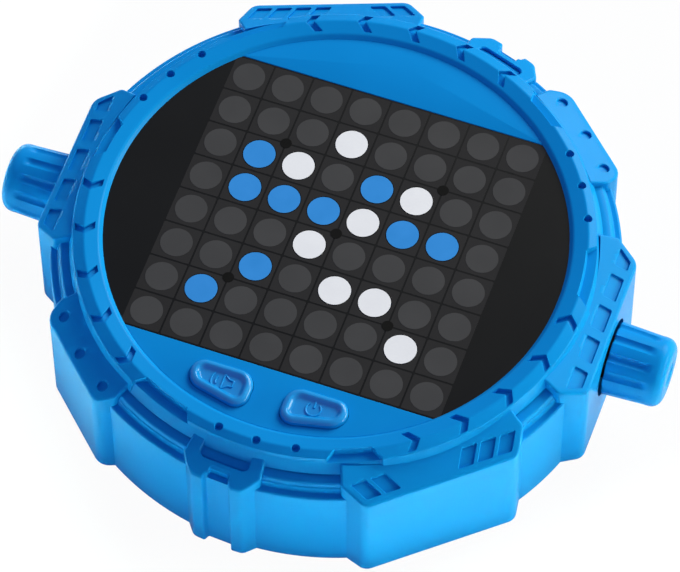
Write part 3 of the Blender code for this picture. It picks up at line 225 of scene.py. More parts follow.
def polar(radius, degrees):
    """Plan points at a radius and an angle in degrees."""
    angle = np.radians(degrees)
    return np.stack(np.broadcast_arrays(radius * np.cos(angle), radius * np.sin(angle)), axis=-1)


def spun(plan, degrees):
    """Plan points turned about the case's axis."""
    angle = np.radians(degrees)
    turn = np.array([[np.cos(angle), np.sin(angle)], [-np.sin(angle), np.cos(angle)]])
    return plan @ turn


def raised(plan, height):
    """Plan points (..., 2) and heights joined into points (..., 3)."""
    level = np.broadcast_to(height, plan.shape[:-1])
    return np.concatenate([plan, level[..., None]], axis=-1)


print("a quarter turn of (1, 0):", np.round(spun(polar(1.0, 0.0), 90), 3).tolist())

# %% [markdown]
# ## The recipe for a finish
# Moulded plastic is never one flat colour: the pigment drifts a little, and the mould's texture makes the
# gloss uneven and dimples the skin by a hundredth of a millimetre or so. One recipe gives all of these from
# two noise fields on Object coordinates. The same recipe serves rubber, steel and print with other numbers.

# %% Finish recipe
NOISE_LOW, NOISE_HIGH = 0.3, 0.7
PATCH_DETAIL, GRAIN_DETAIL = 3, 2
DIMPLE_STRENGTH = 0.35


def skin(name, shades, patch, gloss, grain, dimple, **sockets):
    """A finish whose colour drifts between two shades over patches of a given size, with roughness between
    the two gloss values and dimples of a given depth, both on grains of a given size. Other sockets are set
    as they are."""
    finish = bpy.data.materials.new(name)
    finish.use_nodes = True
    tree = finish.node_tree
    shader = tree.nodes["Principled BSDF"]
    place = tree.nodes.new("ShaderNodeTexCoord")

    def noise(size, detail):
        field = tree.nodes.new("ShaderNodeTexNoise")
        field.inputs["Scale"].default_value = 1 / size
        field.inputs["Detail"].default_value = detail
        tree.links.new(place.outputs["Object"], field.inputs["Vector"])
        return field.outputs["Fac"]

    drift = tree.nodes.new("ShaderNodeValToRGB")
    for element, position, shade in zip(drift.color_ramp.elements, (NOISE_LOW, NOISE_HIGH), shades):
        element.position = position
        element.color = (*shade, 1)
    tree.links.new(noise(patch, PATCH_DETAIL), drift.inputs["Fac"])
    tree.links.new(drift.outputs["Color"], shader.inputs["Base Color"])

    fine = noise(grain, GRAIN_DETAIL)
    rough = tree.nodes.new("ShaderNodeMapRange")
    rough.inputs["From Min"].default_value = NOISE_LOW
    rough.inputs["From Max"].default_value = NOISE_HIGH
    rough.inputs["To Min"].default_value = gloss[0]
    rough.inputs["To Max"].default_value = gloss[1]
    tree.links.new(fine, rough.inputs["Value"])
    tree.links.new(rough.outputs["Result"], shader.inputs["Roughness"])

    bump = tree.nodes.new("ShaderNodeBump")
    bump.inputs["Strength"].default_value = DIMPLE_STRENGTH
    bump.inputs["Distance"].default_value = dimple
    tree.links.new(fine, bump.inputs["Height"])
    tree.links.new(bump.outputs["Normal"], shader.inputs["Normal"])
    for socket, value in sockets.items():
        shader.inputs[socket.replace("_", " ")].default_value = value
    return finish


print("noise is read between", NOISE_LOW, "and", NOISE_HIGH)

# %% [markdown]
# ## The blue plastics and the black window
# The case is a saturated blue with a very soft gloss. The keys are the same plastic with a shinier skin,
# and the signs on them are painted a lighter blue, a painted highlight for the light their raised lines
# catch. The window is smoked and nearly black.

# %% Moulded finishes
game_blue = skin("game_blue", ((0.0035, 0.262, 0.650), (0.0045, 0.278, 0.685)),
                 22 * MM, (0.20, 0.27), 0.5 * MM, 0.010 * MM, Specular_IOR_Level=0.04)
key_blue = skin("key_blue", ((0.0035, 0.268, 0.660), (0.0045, 0.284, 0.695)),
                9 * MM, (0.13, 0.18), 0.4 * MM, 0.006 * MM, Specular_IOR_Level=0.25)
# Painted highlight: the signs' lighter blue stands in for the light that their raised lines catch.
sign_painted_highlight = skin("sign_painted_highlight", ((0.0060, 0.300, 0.720), (0.0075, 0.318, 0.755)),
                 8 * MM, (0.20, 0.28), 0.4 * MM, 0.006 * MM, Specular_IOR_Level=0.16)
window_black = skin("window_black", ((0.0105, 0.0105, 0.0105), (0.0125, 0.0125, 0.0125)),
                    30 * MM, (0.30, 0.36), 0.4 * MM, 0.004 * MM, Specular_IOR_Level=0.06)
print("moulded finishes:", game_blue.name, key_blue.name, sign_painted_highlight.name, window_black.name)

# %% [markdown]
# ## The printed marks
# The squares, discs and dots of the board lie behind the window, so they are dull and nearly without grain.
# They share one recipe and differ in their shades only.

# %% Printed finishes
def printed(name, shades, patch, gloss=(0.40, 0.46)):
    """A printed mark: the finish recipe with a dull gloss and hardly any grain."""
    return skin(name, shades, patch, gloss, 0.4 * MM, 0.003 * MM, Specular_IOR_Level=0.06)


cell_grey = printed("cell_grey", ((0.0250, 0.0236, 0.0230), (0.0285, 0.0270, 0.0262)), 15 * MM)
disc_grey = printed("disc_grey", ((0.0605, 0.0582, 0.0555), (0.0690, 0.0662, 0.0630)), 12 * MM)
disc_white = printed("disc_white", ((0.950, 0.915, 0.870), (0.995, 0.960, 0.910)), 6 * MM)
disc_blue = printed("disc_blue", ((0.040, 0.285, 0.690), (0.048, 0.310, 0.740)), 6 * MM)
dot_black = printed("dot_black", ((0.0030, 0.0030, 0.0030), (0.0045, 0.0045, 0.0045)), 6 * MM, (0.45, 0.50))
print("printed finishes:", cell_grey.name, disc_grey.name, disc_white.name, disc_blue.name, dot_black.name)

# %% [markdown]
# ## Rubber, metal and the parts inside
# Little of these is seen from outside, yet the underside shows its feet and screws, and a part may be
# looked at by itself. The nuts behind the knobs are painted near black as painted shade, so that the gap
# round each knob reads as shadow and no bright line shows there.

# %% Other finishes
foot_rubber = skin("foot_rubber", ((0.011, 0.011, 0.012), (0.017, 0.017, 0.018)),
                   4 * MM, (0.70, 0.85), 0.3 * MM, 0.03 * MM)
screw_steel = skin("screw_steel", ((0.52, 0.52, 0.54), (0.62, 0.62, 0.64)),
                   3 * MM, (0.28, 0.42), 0.2 * MM, 0.01 * MM, Metallic=1.0)
case_black = skin("case_black", ((0.012, 0.012, 0.013), (0.018, 0.018, 0.019)),
                  6 * MM, (0.45, 0.55), 0.3 * MM, 0.01 * MM)
diffuser_milk = skin("diffuser_milk", ((0.78, 0.78, 0.76), (0.84, 0.84, 0.83)),
                     12 * MM, (0.45, 0.55), 0.3 * MM, 0.01 * MM)
board_green = skin("board_green", ((0.010, 0.095, 0.032), (0.018, 0.140, 0.050)),
                   3 * MM, (0.30, 0.45), 0.6 * MM, 0.02 * MM)
spring_brass = skin("spring_brass", ((0.62, 0.45, 0.16), (0.72, 0.54, 0.22)),
                    5 * MM, (0.25, 0.40), 0.2 * MM, 0.01 * MM, Metallic=1.0)
# Painted shade: the nuts are near black so that the gaps round the knobs look shadowed.
nut_painted_shade = skin("nut_painted_shade", ((0.006, 0.006, 0.007), (0.010, 0.010, 0.011)),
                 3 * MM, (0.55, 0.70), 0.2 * MM, 0.01 * MM, Specular_IOR_Level=0.1)
cell_wrap = skin("cell_wrap", ((0.055, 0.055, 0.060), (0.085, 0.085, 0.092)),
                 9 * MM, (0.25, 0.35), 0.3 * MM, 0.004 * MM)
print("materials in all:", len([material for material in bpy.data.materials if material.use_nodes]))

# %% [markdown]
# ## Dressing a piece
# A new surface is only a shape. It becomes a piece of the game when it has a finish, rides on the body that
# it moves with and takes the place of the solids that it stands for, which are hidden. One helper does all
# three.

# %% Dress a piece
def dress(piece, finish, body="root", stands_for=()):
    """Gives a piece its finish and the body it moves with, and hides the solids that it stands for."""
    piece.data.materials.clear()
    piece.data.materials.append(finish)
    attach(piece, body)
    if stands_for:
        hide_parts(*stands_for)
    print(piece.name, "has", len(piece.data.polygons), "faces")
    return piece


# %% [markdown]
# ## The drum
# The case is one moulded drum: a terrace just outside the bezel, a short step with a crease half way down,
# a ledge, and the outer wall. It is round, so it is a profile carried round the axis. The profile's corners
# are softened first, which gives each edge the thin bright line that a real moulding has.

# %% Drum
TERRACE = 2.0 * MM
TERRACE_FALL = 0.5 * MM
STEP_FLARE = 0.8 * MM
LEDGE_DROP = 3.2 * MM
CREASE_HALF = 0.1 * MM
CREASE_UPPER, CREASE_LOWER = 0.4, 0.2
CASE_WALL = 2.2 * MM
DECK_THICKNESS = 2.6 * MM
HAUNCH = 3 * MM
DRUM_COLUMNS = 288

step_radius = flange_radius + TERRACE
ledge_radius = step_radius + STEP_FLARE
ledge_z = deck_z - LEDGE_DROP
crease_z = (deck_z + ledge_z) / 2
deck_bottom = deck_z - DECK_THICKNESS
inner_wall = wall_radius - CASE_WALL
drum_corners = [
    (window_radius, deck_z, 0),
    (flange_radius, deck_z, 0),
    (step_radius, deck_z - TERRACE_FALL, 0.4),
    (step_radius + CREASE_UPPER * STEP_FLARE, crease_z + CREASE_HALF, 0.25),
    (ledge_radius - CREASE_LOWER * STEP_FLARE, crease_z - CREASE_HALF, 0.25),
    (ledge_radius, ledge_z, 0.3),
    (wall_radius, ledge_z, 0.6),
    (wall_radius, case_foot, 0.9),
    (inner_wall, case_foot, 0.3),
    (inner_wall, deck_bottom - HAUNCH, 0.5),
    (inner_wall - HAUNCH, deck_bottom, 0.5),
    (window_radius, deck_bottom, 0),
]
drum_points = turned(soft_profile(drum_corners), DRUM_COLUMNS)
drum = dress(surface("case_drum", drum_points), game_blue, stands_for=["housing"])

# %% [markdown]
# ## The lugs
# Eight lugs stand on the drum like the horns of a diver's watch. Each is a plan outline raised to a sloping
# top. The skin runs row by row up the wall, over a quarter-round lip and across the top to the bezel, and
# every row is the outline moved inwards along its own normal. The inner end is tucked under the bezel, so
# no gap shows there.

# %% Lug skin
LUG_TOP_DROP = 2.3 * MM
LUG_TOP_FALL = 2.3 * MM
LUG_BITE = 1.0 * MM
LUG_LIP = 0.6 * MM
LUG_FOOT_ROUND = 0.5 * MM
LUG_SIDE_ROUND = 0.6 * MM
LUG_TUCK = 0.8 * MM
LUG_ROUND_ROWS, LUG_TOP_ROWS = 7, 7
MIRROR = np.array([1, -1])
lug_foot = case_foot + SEAT
lug_root = flange_radius - LUG_TUCK


def lug_top(outward):
    """Height of a lug's top: it falls in proportion to the distance outward from the bezel."""
    return face_z - LUG_TOP_DROP - LUG_TOP_FALL / (lug_face - lug_inner) * (outward - lug_inner)


def lug_skin(root, corners, reach, columns=150):
    """Rows of a lug about +X. A row is outline + inset * inward normal; the inset follows a quarter circle
    at the foot and at the lip, then the rows run straight across to the arc beside the bezel and down
    inside the drum."""
    side_in, side_out = polar(lug_root, -root), polar(wall_radius - LUG_BITE, -root)
    chain = [side_in, side_out, *corners, side_out * MIRROR, side_in * MIRROR]
    rounded = soften(chain, [0, LUG_SIDE_ROUND, *reach, LUG_SIDE_ROUND, 0])
    outline = resample(rounded, columns)
    along = np.gradient(outline, axis=0)
    along /= np.linalg.norm(along, axis=1, keepdims=True)
    inward = np.stack([-along[:, 1], along[:, 0]], axis=1)
    spread = root - np.degrees(LUG_LIP / lug_root)
    inner = polar(lug_root, np.linspace(-spread, spread, columns))

    def row(inset, rise, on_top):
        plan = outline + inset * inward
        away = np.linalg.norm(plan, axis=1, keepdims=True)
        plan = plan * np.maximum(1, lug_root / away)
        level = lug_top(plan[:, 0]) if on_top else lug_foot
        return raised(plan, level + rise)

    quarter = np.linspace(0, np.pi / 2, LUG_ROUND_ROWS)
    rows = [row(LUG_FOOT_ROUND * (1 - np.cos(q)), LUG_FOOT_ROUND * (1 - np.sin(q)), False)
            for q in quarter[::-1]]
    rows += [row(LUG_LIP * (1 - np.cos(q)), -LUG_LIP * (1 - np.sin(q)), True) for q in quarter]
    rim = rows[-1][:, :2]
    for share in np.linspace(0, 1, LUG_TOP_ROWS)[1:]:
        plan = (1 - share) * rim + share * inner
        rows.append(raised(plan, lug_top(plan[:, 0])))
    rows.append(raised(inner, deck_bottom))
    grid = np.stack(rows)
    ends = [raised(np.broadcast_to(inner[k], (len(rows), 2)), grid[:, k, 2])[:, None] for k in (0, -1)]
    return np.concatenate([ends[0], grid, ends[1]], axis=1)


print("lug tops fall from", round(lug_top(lug_inner), 5), "to", round(lug_top(lug_face), 5))

# %% [markdown]
# ## Three kinds of lug
# Broad lugs have a flat face, drilled lugs a narrower and rounder one, and ribbed lugs two ribs with a
# channel between them. Each kind is worked out once about the X axis and then turned to its places on the
# drum.

# %% Lug kinds
DRILLED_PROUD = 1.7 * MM
RIB_PROUD, CHANNEL_DEPTH = 2.3 * MM, 1.4 * MM
CHANNEL_FLOOR, CHANNEL_MOUTH, RIB_OUTSIDE = 2.4, 2.75, 5.2
FINE_COLUMNS = 220


def flat_corners(proud, half_angle):
    """The two outer corners of a lug whose face is flat and stands proud of the wall."""
    face = wall_radius + proud
    across = face * np.tan(np.radians(half_angle))
    return [np.array([face, -across]), np.array([face, across])]


def turn_skin(points, degrees):
    """A skin made about +X, turned to its place on the drum."""
    return raised(spun(points[..., :2], degrees), points[..., 2])


rib_tip = wall_radius + RIB_PROUD
rib_valley = rib_tip - CHANNEL_DEPTH
rib_half = [polar(rib_valley, CHANNEL_FLOOR), polar(rib_tip, CHANNEL_MOUTH), polar(rib_tip, RIB_OUTSIDE)]
rib_corners = [corner * MIRROR for corner in reversed(rib_half)] + rib_half
rib_rounds = np.array([0.9, 0.45, 0.3, 0.3, 0.45, 0.9]) * MM
broad_corners = flat_corners(BROAD_PROUD, half_angle=15.4)
drilled_corners = flat_corners(DRILLED_PROUD, half_angle=10.6)
broad = lug_skin(root=19.8, corners=broad_corners, reach=np.array([1.6, 1.6]) * MM, columns=FINE_COLUMNS)
drilled = lug_skin(root=13.0, corners=drilled_corners, reach=np.array([4.0, 4.0]) * MM)
ribbed = lug_skin(root=8.4, corners=rib_corners, reach=rib_rounds, columns=FINE_COLUMNS)
print("lug skins:", broad.shape, drilled.shape, ribbed.shape)

# %% [markdown]
# ## Cutting into a moulding
# Pockets, holes and sockets are easiest to cut: the tool is a small closed surface, the Boolean takes it
# away, and the result is kept as a plain mesh. A tool that opens out just below the surface leaves a bevel
# round the cut, as the mould's own rounded edge would.

# %% Cutting tools
TOOL_CLEAR = 1.0 * MM
TOOL_PROUD = 0.03 * MM


def prism(outline, low, high):
    """Rows of a closed prism: its middle and rim at the low height, then its rim and middle at the high
    one."""
    middle = np.broadcast_to(outline.mean(axis=0), outline.shape)
    return np.stack([raised(middle, low), raised(outline, low), raised(outline, high), raised(middle, high)])


def inward_normals(outline):
    """The unit normal to the left of a closed outline at each of its points, so inwards if it runs
    anticlockwise."""
    along = np.roll(outline, -1, axis=0) - np.roll(outline, 1, axis=0)
    along /= np.linalg.norm(along, axis=1, keepdims=True)
    return np.stack([-along[:, 1], along[:, 0]], axis=1)


def countersunk(outline, depth, top, flare):
    """A tool like a prism whose outline opens out by the flare just below the surface, so that the cut has
    a bevel. The surface's height is a function of the distance outward."""
    opened = outline - flare * inward_normals(outline)
    middle = np.broadcast_to(outline.mean(axis=0), outline.shape)
    levels = ((middle, -depth), (outline, -depth), (outline, -flare), (opened, TOOL_PROUD),
              (opened, TOOL_CLEAR), (middle, TOOL_CLEAR))
    return np.stack([raised(plan, top(plan[:, 0]) + level) for plan, level in levels])


def carve(piece, tools):
    """Takes tool surfaces away from a piece and shades the result again."""
    for number, points in enumerate(tools):
        tool = surface(f"tool_{number}", points, wrap_rows=False)
        cut = piece.modifiers.new("cut", "BOOLEAN")
        cut.object = tool
        cut.solver = "EXACT"
        shape = piece.evaluated_get(bpy.context.evaluated_depsgraph_get())
        carved = bpy.data.meshes.new_from_object(shape)
        piece.modifiers.clear()
        piece.data = carved
        bpy.data.meshes.remove(tool.data)
    piece.data.shade_smooth()
    piece.data.set_sharp_from_angle(angle=np.radians(SHARP_BEND))
    weights = piece.modifiers.new("even_shading", "WEIGHTED_NORMAL")
    weights.keep_sharp = True
    return piece


print("tools stand clear of a surface by", TOOL_CLEAR)

# %% [markdown]
# ## Pockets
# The broad lugs carry shallow pockets in their tops. Those at the sides have a row of five behind the knob,
# and the other two have a few small leaning ones that start from both ends.

# %% Pockets
POCKET_DEPTH, POCKET_INSET = 0.7 * MM, 1.6 * MM
POCKET_ROUND, POCKET_BEVEL = 0.3 * MM, 0.15 * MM
pocket_outer = lug_face - POCKET_INSET


def pocket(start, stop, length, start_lean, stop_lean, degrees):
    """A pocket's tool between two sideways places on a lug, its ends leaning sideways going outward."""
    inner = pocket_outer - length
    corners = np.array([(inner, start), (pocket_outer, start + start_lean),
                        (pocket_outer, stop + stop_lean), (inner, stop)])
    outline = soften(corners, POCKET_ROUND, 4)
    return turn_skin(countersunk(outline, POCKET_DEPTH, lug_top, POCKET_BEVEL), degrees)


def row_of_pockets(degrees, aside):
    """Five pockets side by side, the end ones leaning inwards, all moved aside a little."""
    pitch, half, length, lean, end = 8.6 * MM, 3.05 * MM, 3.0 * MM, 2.0 * MM, 19.4 * MM
    middles = np.arange(-2, 3) * pitch + aside
    starts = np.maximum(middles - half, -end)
    stops = np.minimum(middles + half, end)
    start_leans = lean * np.array([1, 0, 0, 0, 0])
    stop_leans = -start_leans[::-1]
    return [pocket(*ends, length, *leans, degrees)
            for ends, leans in zip(zip(starts, stops), zip(start_leans, stop_leans))]


def end_pockets(degrees, low_count, high_count):
    """Small leaning pockets that start from both ends of a lug."""
    end, pitch, width, length, lean = 19.5 * MM, 4.6 * MM, 3.5 * MM, 3.8 * MM, 2.3 * MM
    low = [pocket(k * pitch - end, k * pitch - end + width, length, lean, lean, degrees)
           for k in range(low_count)]
    return low + [pocket(end - k * pitch - width, end - k * pitch, length, -lean, -lean, degrees)
                  for k in range(high_count)]


print("pockets end at", round(pocket_outer, 5), "from the axis")

# %% [markdown]
# ## Holes, dips and sockets
# A drilled lug has three blind holes, and a ribbed lug has a long dip beside the bezel and a notch behind
# the channel between its ribs. The side lugs have a round socket, so that the knob starts a little inside
# the case.

# %% Holes, dips and sockets
HOLE_RADIUS, HOLE_DEPTH, HOLE_BEVEL = 1.2 * MM, 0.9 * MM, 0.2 * MM
HOLE_INSET, HOLE_TURNS = 2.5 * MM, (-9.0, 0.0, 9.0)
DIP_REACH, DIP_DEPTH, DIP_BEVEL = 2.2 * MM, 1.3 * MM, 0.25 * MM
DIP_HALF_TURN, DIP_ROUND = 5.4, 1.3
NOTCH_SET, NOTCH_DEPTH, NOTCH_BEVEL, NOTCH_ROUND = 1.5 * MM, 2.4 * MM, 0.5 * MM, 0.6 * MM
NOTCH_BACK, NOTCH_MOUTH = 2.2 * MM, 3.0 * MM
SOCKET_DEPTH, SOCKET_GAP = 2.0 * MM, 0.6 * MM


def lug_holes(degrees):
    """Three blind holes along a drilled lug."""
    ring = polar(HOLE_RADIUS, np.linspace(0, 360, 40, endpoint=False))
    places = [polar(wall_radius + DRILLED_PROUD - HOLE_INSET, turn) for turn in HOLE_TURNS]
    tools = [countersunk(ring + place, HOLE_DEPTH, lug_top, HOLE_BEVEL) for place in places]
    return [turn_skin(tool, degrees) for tool in tools]


def rib_cuts(degrees):
    """A curved dip with round ends where a ribbed lug meets the bezel, and a bevelled notch behind the
    channel between the two ribs. A round end moves by 1 - sin b along the turn and by 1 - cos b along the
    radius."""
    bend = np.linspace(0, np.pi / 2, 8)[::-1]
    turn = DIP_HALF_TURN - DIP_ROUND * (1 - np.sin(bend))
    out = lug_inner + DIP_REACH - DIP_ROUND * MM * (1 - np.cos(bend))
    sweep = np.linspace(-DIP_HALF_TURN, DIP_HALF_TURN, 24)
    rim = np.concatenate([polar(out, -turn), polar(out[::-1], turn[::-1])])
    dip = np.concatenate([rim, polar(lug_root - TOOL_CLEAR, sweep[::-1])])
    back, mouth = rib_valley - NOTCH_SET, rib_tip + TOOL_CLEAR
    notch = np.array([(back, -NOTCH_BACK), (mouth, -NOTCH_MOUTH), (mouth, NOTCH_MOUTH), (back, NOTCH_BACK)])
    notch = soften(notch, NOTCH_ROUND, 6)
    tools = [countersunk(dip, DIP_DEPTH, lug_top, DIP_BEVEL),
             countersunk(notch, NOTCH_DEPTH, lambda outward: lug_top(back) + 0 * outward, NOTCH_BEVEL)]
    return [turn_skin(tool, degrees) for tool in tools]


def knob_socket(side):
    """A tool for the round recess in a side lug's face behind its knob: a prism laid along X."""
    low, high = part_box("right_knob")
    dial_z = (low.z + high.z) / 2
    ring = polar(high.y + SOCKET_GAP, np.linspace(0, 360, 96, endpoint=False))
    points = prism(ring, 0, 1)
    along = np.where(points[..., 2] > 0.5, lug_face + TOOL_CLEAR, lug_face - SOCKET_DEPTH)
    return np.stack([side * along, points[..., 0], dial_z + points[..., 1]], axis=-1)


print("tools: holes", len(lug_holes(0)), "ribs", len(rib_cuts(0)), "socket", knob_socket(1).shape)

# %% [markdown]
# ## The eight lugs in their places
# The layout isn't quite even: the lugs stand at the angles that the photograph shows, and the pockets
# differ from one broad lug to the next. A table gives each lug its kind, its angle and its cuts.

# %% Lugs
POCKET_ASIDE = 0.8 * MM
LUGS = [
    ("lug_right", broad, 0.0, lambda at: row_of_pockets(at, POCKET_ASIDE) + [knob_socket(1)]),
    ("lug_left", broad, 180.0, lambda at: row_of_pockets(at, -POCKET_ASIDE) + [knob_socket(-1)]),
    ("lug_back", broad, 110.8, lambda at: end_pockets(at, 2, 4)),
    ("lug_front", broad, -49.6, lambda at: end_pockets(at, 2, 3)),
    ("lug_drilled_back", drilled, 46.5, lug_holes),
    ("lug_drilled_front", drilled, -133.5, lug_holes),
    ("lug_ribbed_back", ribbed, 71.8, rib_cuts),
    ("lug_ribbed_front", ribbed, -93.8, rib_cuts),
]
carve(drum, [knob_socket(1), knob_socket(-1)])
for lug_name, lug_points, lug_angle, lug_tools in LUGS:
    lug = surface(lug_name, turn_skin(lug_points, lug_angle), wrap_columns=False)
    dress(carve(lug, lug_tools(lug_angle)), game_blue)

# %% [markdown]
# ## The bezel ring
# The bezel is a ring with a low roof. In each third of the turn come a long slot, three pin holes, a short
# slot and five chevron steps that point the way round. All of them are changes of height, so the roof is a
# height field: a profile carried round the axis, lowered by soft steps. Angles here are in degrees within
# one third.

# %% Bezel measures
RIDGE_IN, BROW_IN = 3.9 * MM, 0.5 * MM
RIDGE_HEIGHT, BROW_HEIGHT, EAVE_HEIGHT = 1.6 * MM, 0.9 * MM, 0.48 * MM
EAVE_SET = 0.9 * MM
SHELF_WIDTH, SHELF_TURNS = 0.65 * MM, (0.5, 59.5)
LIP_WIDTH, LIP_HEIGHT = 0.6 * MM, 0.8 * MM
INNER_GAP, INNER_DROP = 0.05 * MM, 0.1 * MM
THIRD = 120.0
CHEVRONS = np.array([68.6, 80.6, 92.7, 104.7, 116.7])
CHEVRON_IN, CHEVRON_OUT = 2.45 * MM, 2.1 * MM
CHEVRON_LEAN, CHEVRON_TRAIL = 0.74, 2.6
CHEVRON_WIDTH, CHEVRON_DEPTH, CHEVRON_TAIL = 1.8 * MM, 1.0 * MM, 0.95 * MM
SLOTS = [(0.5, 16.0), (47.5, 59.5)]
SLOT_SLANT, SLOT_DEPTH = 1.8, 0.35 * MM
SLOT_PAST_RIDGE, SLOT_PAST_SHELF = 0.4 * MM, 0.2 * MM
PIN_HOLES = np.array([22.7, 31.7, 40.7])
PIN_RADIUS, PIN_DEPTH = 0.85 * MM, 1.6 * MM

ridge_radius = window_radius + RIDGE_IN
eave_radius = flange_radius - EAVE_SET
shelf_radius = eave_radius - SHELF_WIDTH
lip_inner = face_radius - LIP_WIDTH
lip_top = bezel_bottom + LIP_HEIGHT
inner_edge = face_radius - INNER_GAP
slot_in, slot_out = ridge_radius - SLOT_PAST_RIDGE, shelf_radius + SLOT_PAST_SHELF
shelf_fall = (face_z - bezel_bottom) / (flange_radius - shelf_radius)
print("ridge", round(ridge_radius, 5), "eave", round(eave_radius, 5), "shelf", round(shelf_radius, 5))

# %% [markdown]
# ## The bezel's grid
# A step in a height field is only as crisp as the grid under it. So the lines that run across the ring
# crowd together at the slots' ends, the pin holes and the chevrons, and stay wide apart elsewhere. The
# lines that run round the ring come from its section, sampled evenly over the roof.

# %% Bezel grid
EVEN_TURN, CLOSEST_TURN = 1.5, 0.02
EDGE_TURNS = np.array([-0.3, -0.1, -0.04, 0.04, 0.1, 0.3])
PIN_REACH, PIN_LINES = 1.2, 27
RAMP_LINES = 5
ROOF_ROWS, CORNER_STEPS = 96, 8


def bezel_turns():
    """Angles of the grid in one third: even everywhere, and closer at slot ends, pin holes and chevrons."""
    even = np.arange(0, THIRD, EVEN_TURN)
    width = np.degrees(CHEVRON_WIDTH / ridge_radius)
    ramp = np.concatenate([EDGE_TURNS - width, np.linspace(-width, 0, RAMP_LINES)[1:-1], EDGE_TURNS])
    ramps = CHEVRONS[:, None] + ramp
    pins = PIN_HOLES[:, None] + np.linspace(-PIN_REACH, PIN_REACH, PIN_LINES)
    ends = np.ravel(SLOTS)[:, None] + EDGE_TURNS
    every = np.concatenate([even, ramps.ravel(), pins.ravel(), ends.ravel()]) % THIRD
    angles = np.unique(np.round(every, 3))
    return angles[np.concatenate([[True], np.diff(angles) > CLOSEST_TURN])]


def bezel_profile():
    """The ring's section as (radius, height): its hidden underside, then the softened roof sampled
    evenly."""
    corners = [
        (lip_inner, lip_top, 0),
        (inner_edge, lip_top, 0),
        (inner_edge, face_z - INNER_DROP, 0),
        (window_radius + BROW_IN, face_z + BROW_HEIGHT, 0.4),
        (ridge_radius, face_z + RIDGE_HEIGHT, 0.35),
        (eave_radius, face_z + EAVE_HEIGHT, 0.3),
        (flange_radius, bezel_bottom, 0),
        (lip_inner, bezel_bottom, 0),
    ]
    line = soft_profile(corners, CORNER_STEPS)
    starts = np.arange(len(corners)) * CORNER_STEPS
    roof = resample(line[starts[2]:starts[6]], ROOF_ROWS)
    return np.concatenate([line[starts[:2]], roof, line[starts[6:]]])


print("bezel grid:", len(bezel_profile()), "rows,", len(bezel_turns()), "lines in a third")

# %% [markdown]
# ## The bezel's features
# Every feature is a soft step: an eased ramp from 0 to 1 over a fraction of a millimetre, so its edge
# catches light as a moulded edge does. Products of steps make bands, and a band times a depth makes a slot
# or a channel.

# %% Bezel height field
ROOF_SHARE, ROOF_SOFT = 0.8, 0.2 * MM
SHELF_SOFT, SHELF_END_SOFT = 0.14 * MM, 0.15
SLOT_RISE, SLOT_IN_SOFT, SLOT_OUT_SOFT, SLOT_END_SOFT = 0.15 * MM, 0.4 * MM, 0.12 * MM, 0.16
PIN_SOFT, CHEVRON_END_SOFT, CHEVRON_SOFT = 0.3 * MM, 0.14 * MM, 0.1 * MM


def step(value, edge, soft):
    """0 before the edge and 1 after it, easing by 3t^2 - 2t^3 over the soft width."""
    t = np.clip((value - edge) / soft + 0.5, 0, 1)
    return t * t * (3 - 2 * t)


def between(value, low, high, soft):
    """1 between two soft edges and 0 outside them."""
    return step(value, low, soft) * (1 - step(value, high, soft))


def bezel_height(radius, turn, straight, height):
    """The roof after its features: the shelf is cut to a steep slope and slots to a level, pin holes sink
    by their depth, and behind each chevron's edge a channel's floor rises in a straight line from depth to
    tail over the channel's width."""
    on_roof = step(radius, window_radius + ROOF_SHARE * BROW_IN, ROOF_SOFT)
    shelf = between(turn, *SHELF_TURNS, SHELF_END_SOFT) * step(radius, shelf_radius, SHELF_SOFT)
    chamfer = face_z - shelf_fall * np.maximum(radius - shelf_radius, 0)
    height = height - shelf * np.maximum(height - chamfer, 0)
    across_slot = step(radius, slot_in + SLOT_RISE, SLOT_IN_SOFT)
    across_slot = across_slot * (1 - step(radius, slot_out, SLOT_OUT_SOFT))
    for low, high in SLOTS:
        slot = across_slot * between(straight, low, high, SLOT_END_SOFT)
        height = height - slot * np.maximum(height - (face_z - SLOT_DEPTH), 0)
    for angle in PIN_HOLES:
        away = np.hypot(np.radians(turn - angle) * radius, radius - ridge_radius)
        height = height - PIN_DEPTH * (1 - step(away, PIN_RADIUS, PIN_SOFT))
    reach = between(radius, ridge_radius - CHEVRON_IN, ridge_radius + CHEVRON_OUT, CHEVRON_END_SOFT)
    for angle in CHEVRONS:
        behind = np.radians(angle - straight) * ridge_radius
        floor = CHEVRON_DEPTH + (CHEVRON_TAIL - CHEVRON_DEPTH) * behind / CHEVRON_WIDTH
        height = height - floor * between(behind, 0, CHEVRON_WIDTH, CHEVRON_SOFT) * reach * on_roof
    return height


print("half way up a soft step:", step(0.0, 0.0, 1.0))

# %% [markdown]
# ## The bezel's skin
# Chevrons are bent and slots end on a slant. If the grid's lines lean with them, every step falls between
# two lines and stays clean. So each line is first straight, then leans back from the ridge where chevrons
# are, and leans into a slot near its two ends.

# %% Bezel ring
LEAN_FROM, LEAN_FROM_SOFT = 63.2, 6.0
LEAN_TO, LEAN_TO_SOFT = 118.4, 3.0
SKEW_OUT, SKEW_OUT_SOFT = 1.1, 1.6
SKEW_IN, SKEW_IN_SOFT = 2.6, 4.0
BEZEL_SHARP = 40


def slot_skew(straight):
    """How far lines take part in a slot's slant: +1 at its first end, -1 at its last, 0 away from both."""
    near = (straight + THIRD / 4) % THIRD - THIRD / 4
    return sum(step(near, low - SKEW_OUT, SKEW_OUT_SOFT) * (1 - step(near, low + SKEW_IN, SKEW_IN_SOFT))
               - step(near, high - SKEW_IN, SKEW_IN_SOFT) * (1 - step(near, high + SKEW_OUT, SKEW_OUT_SOFT))
               for low, high in SLOTS)


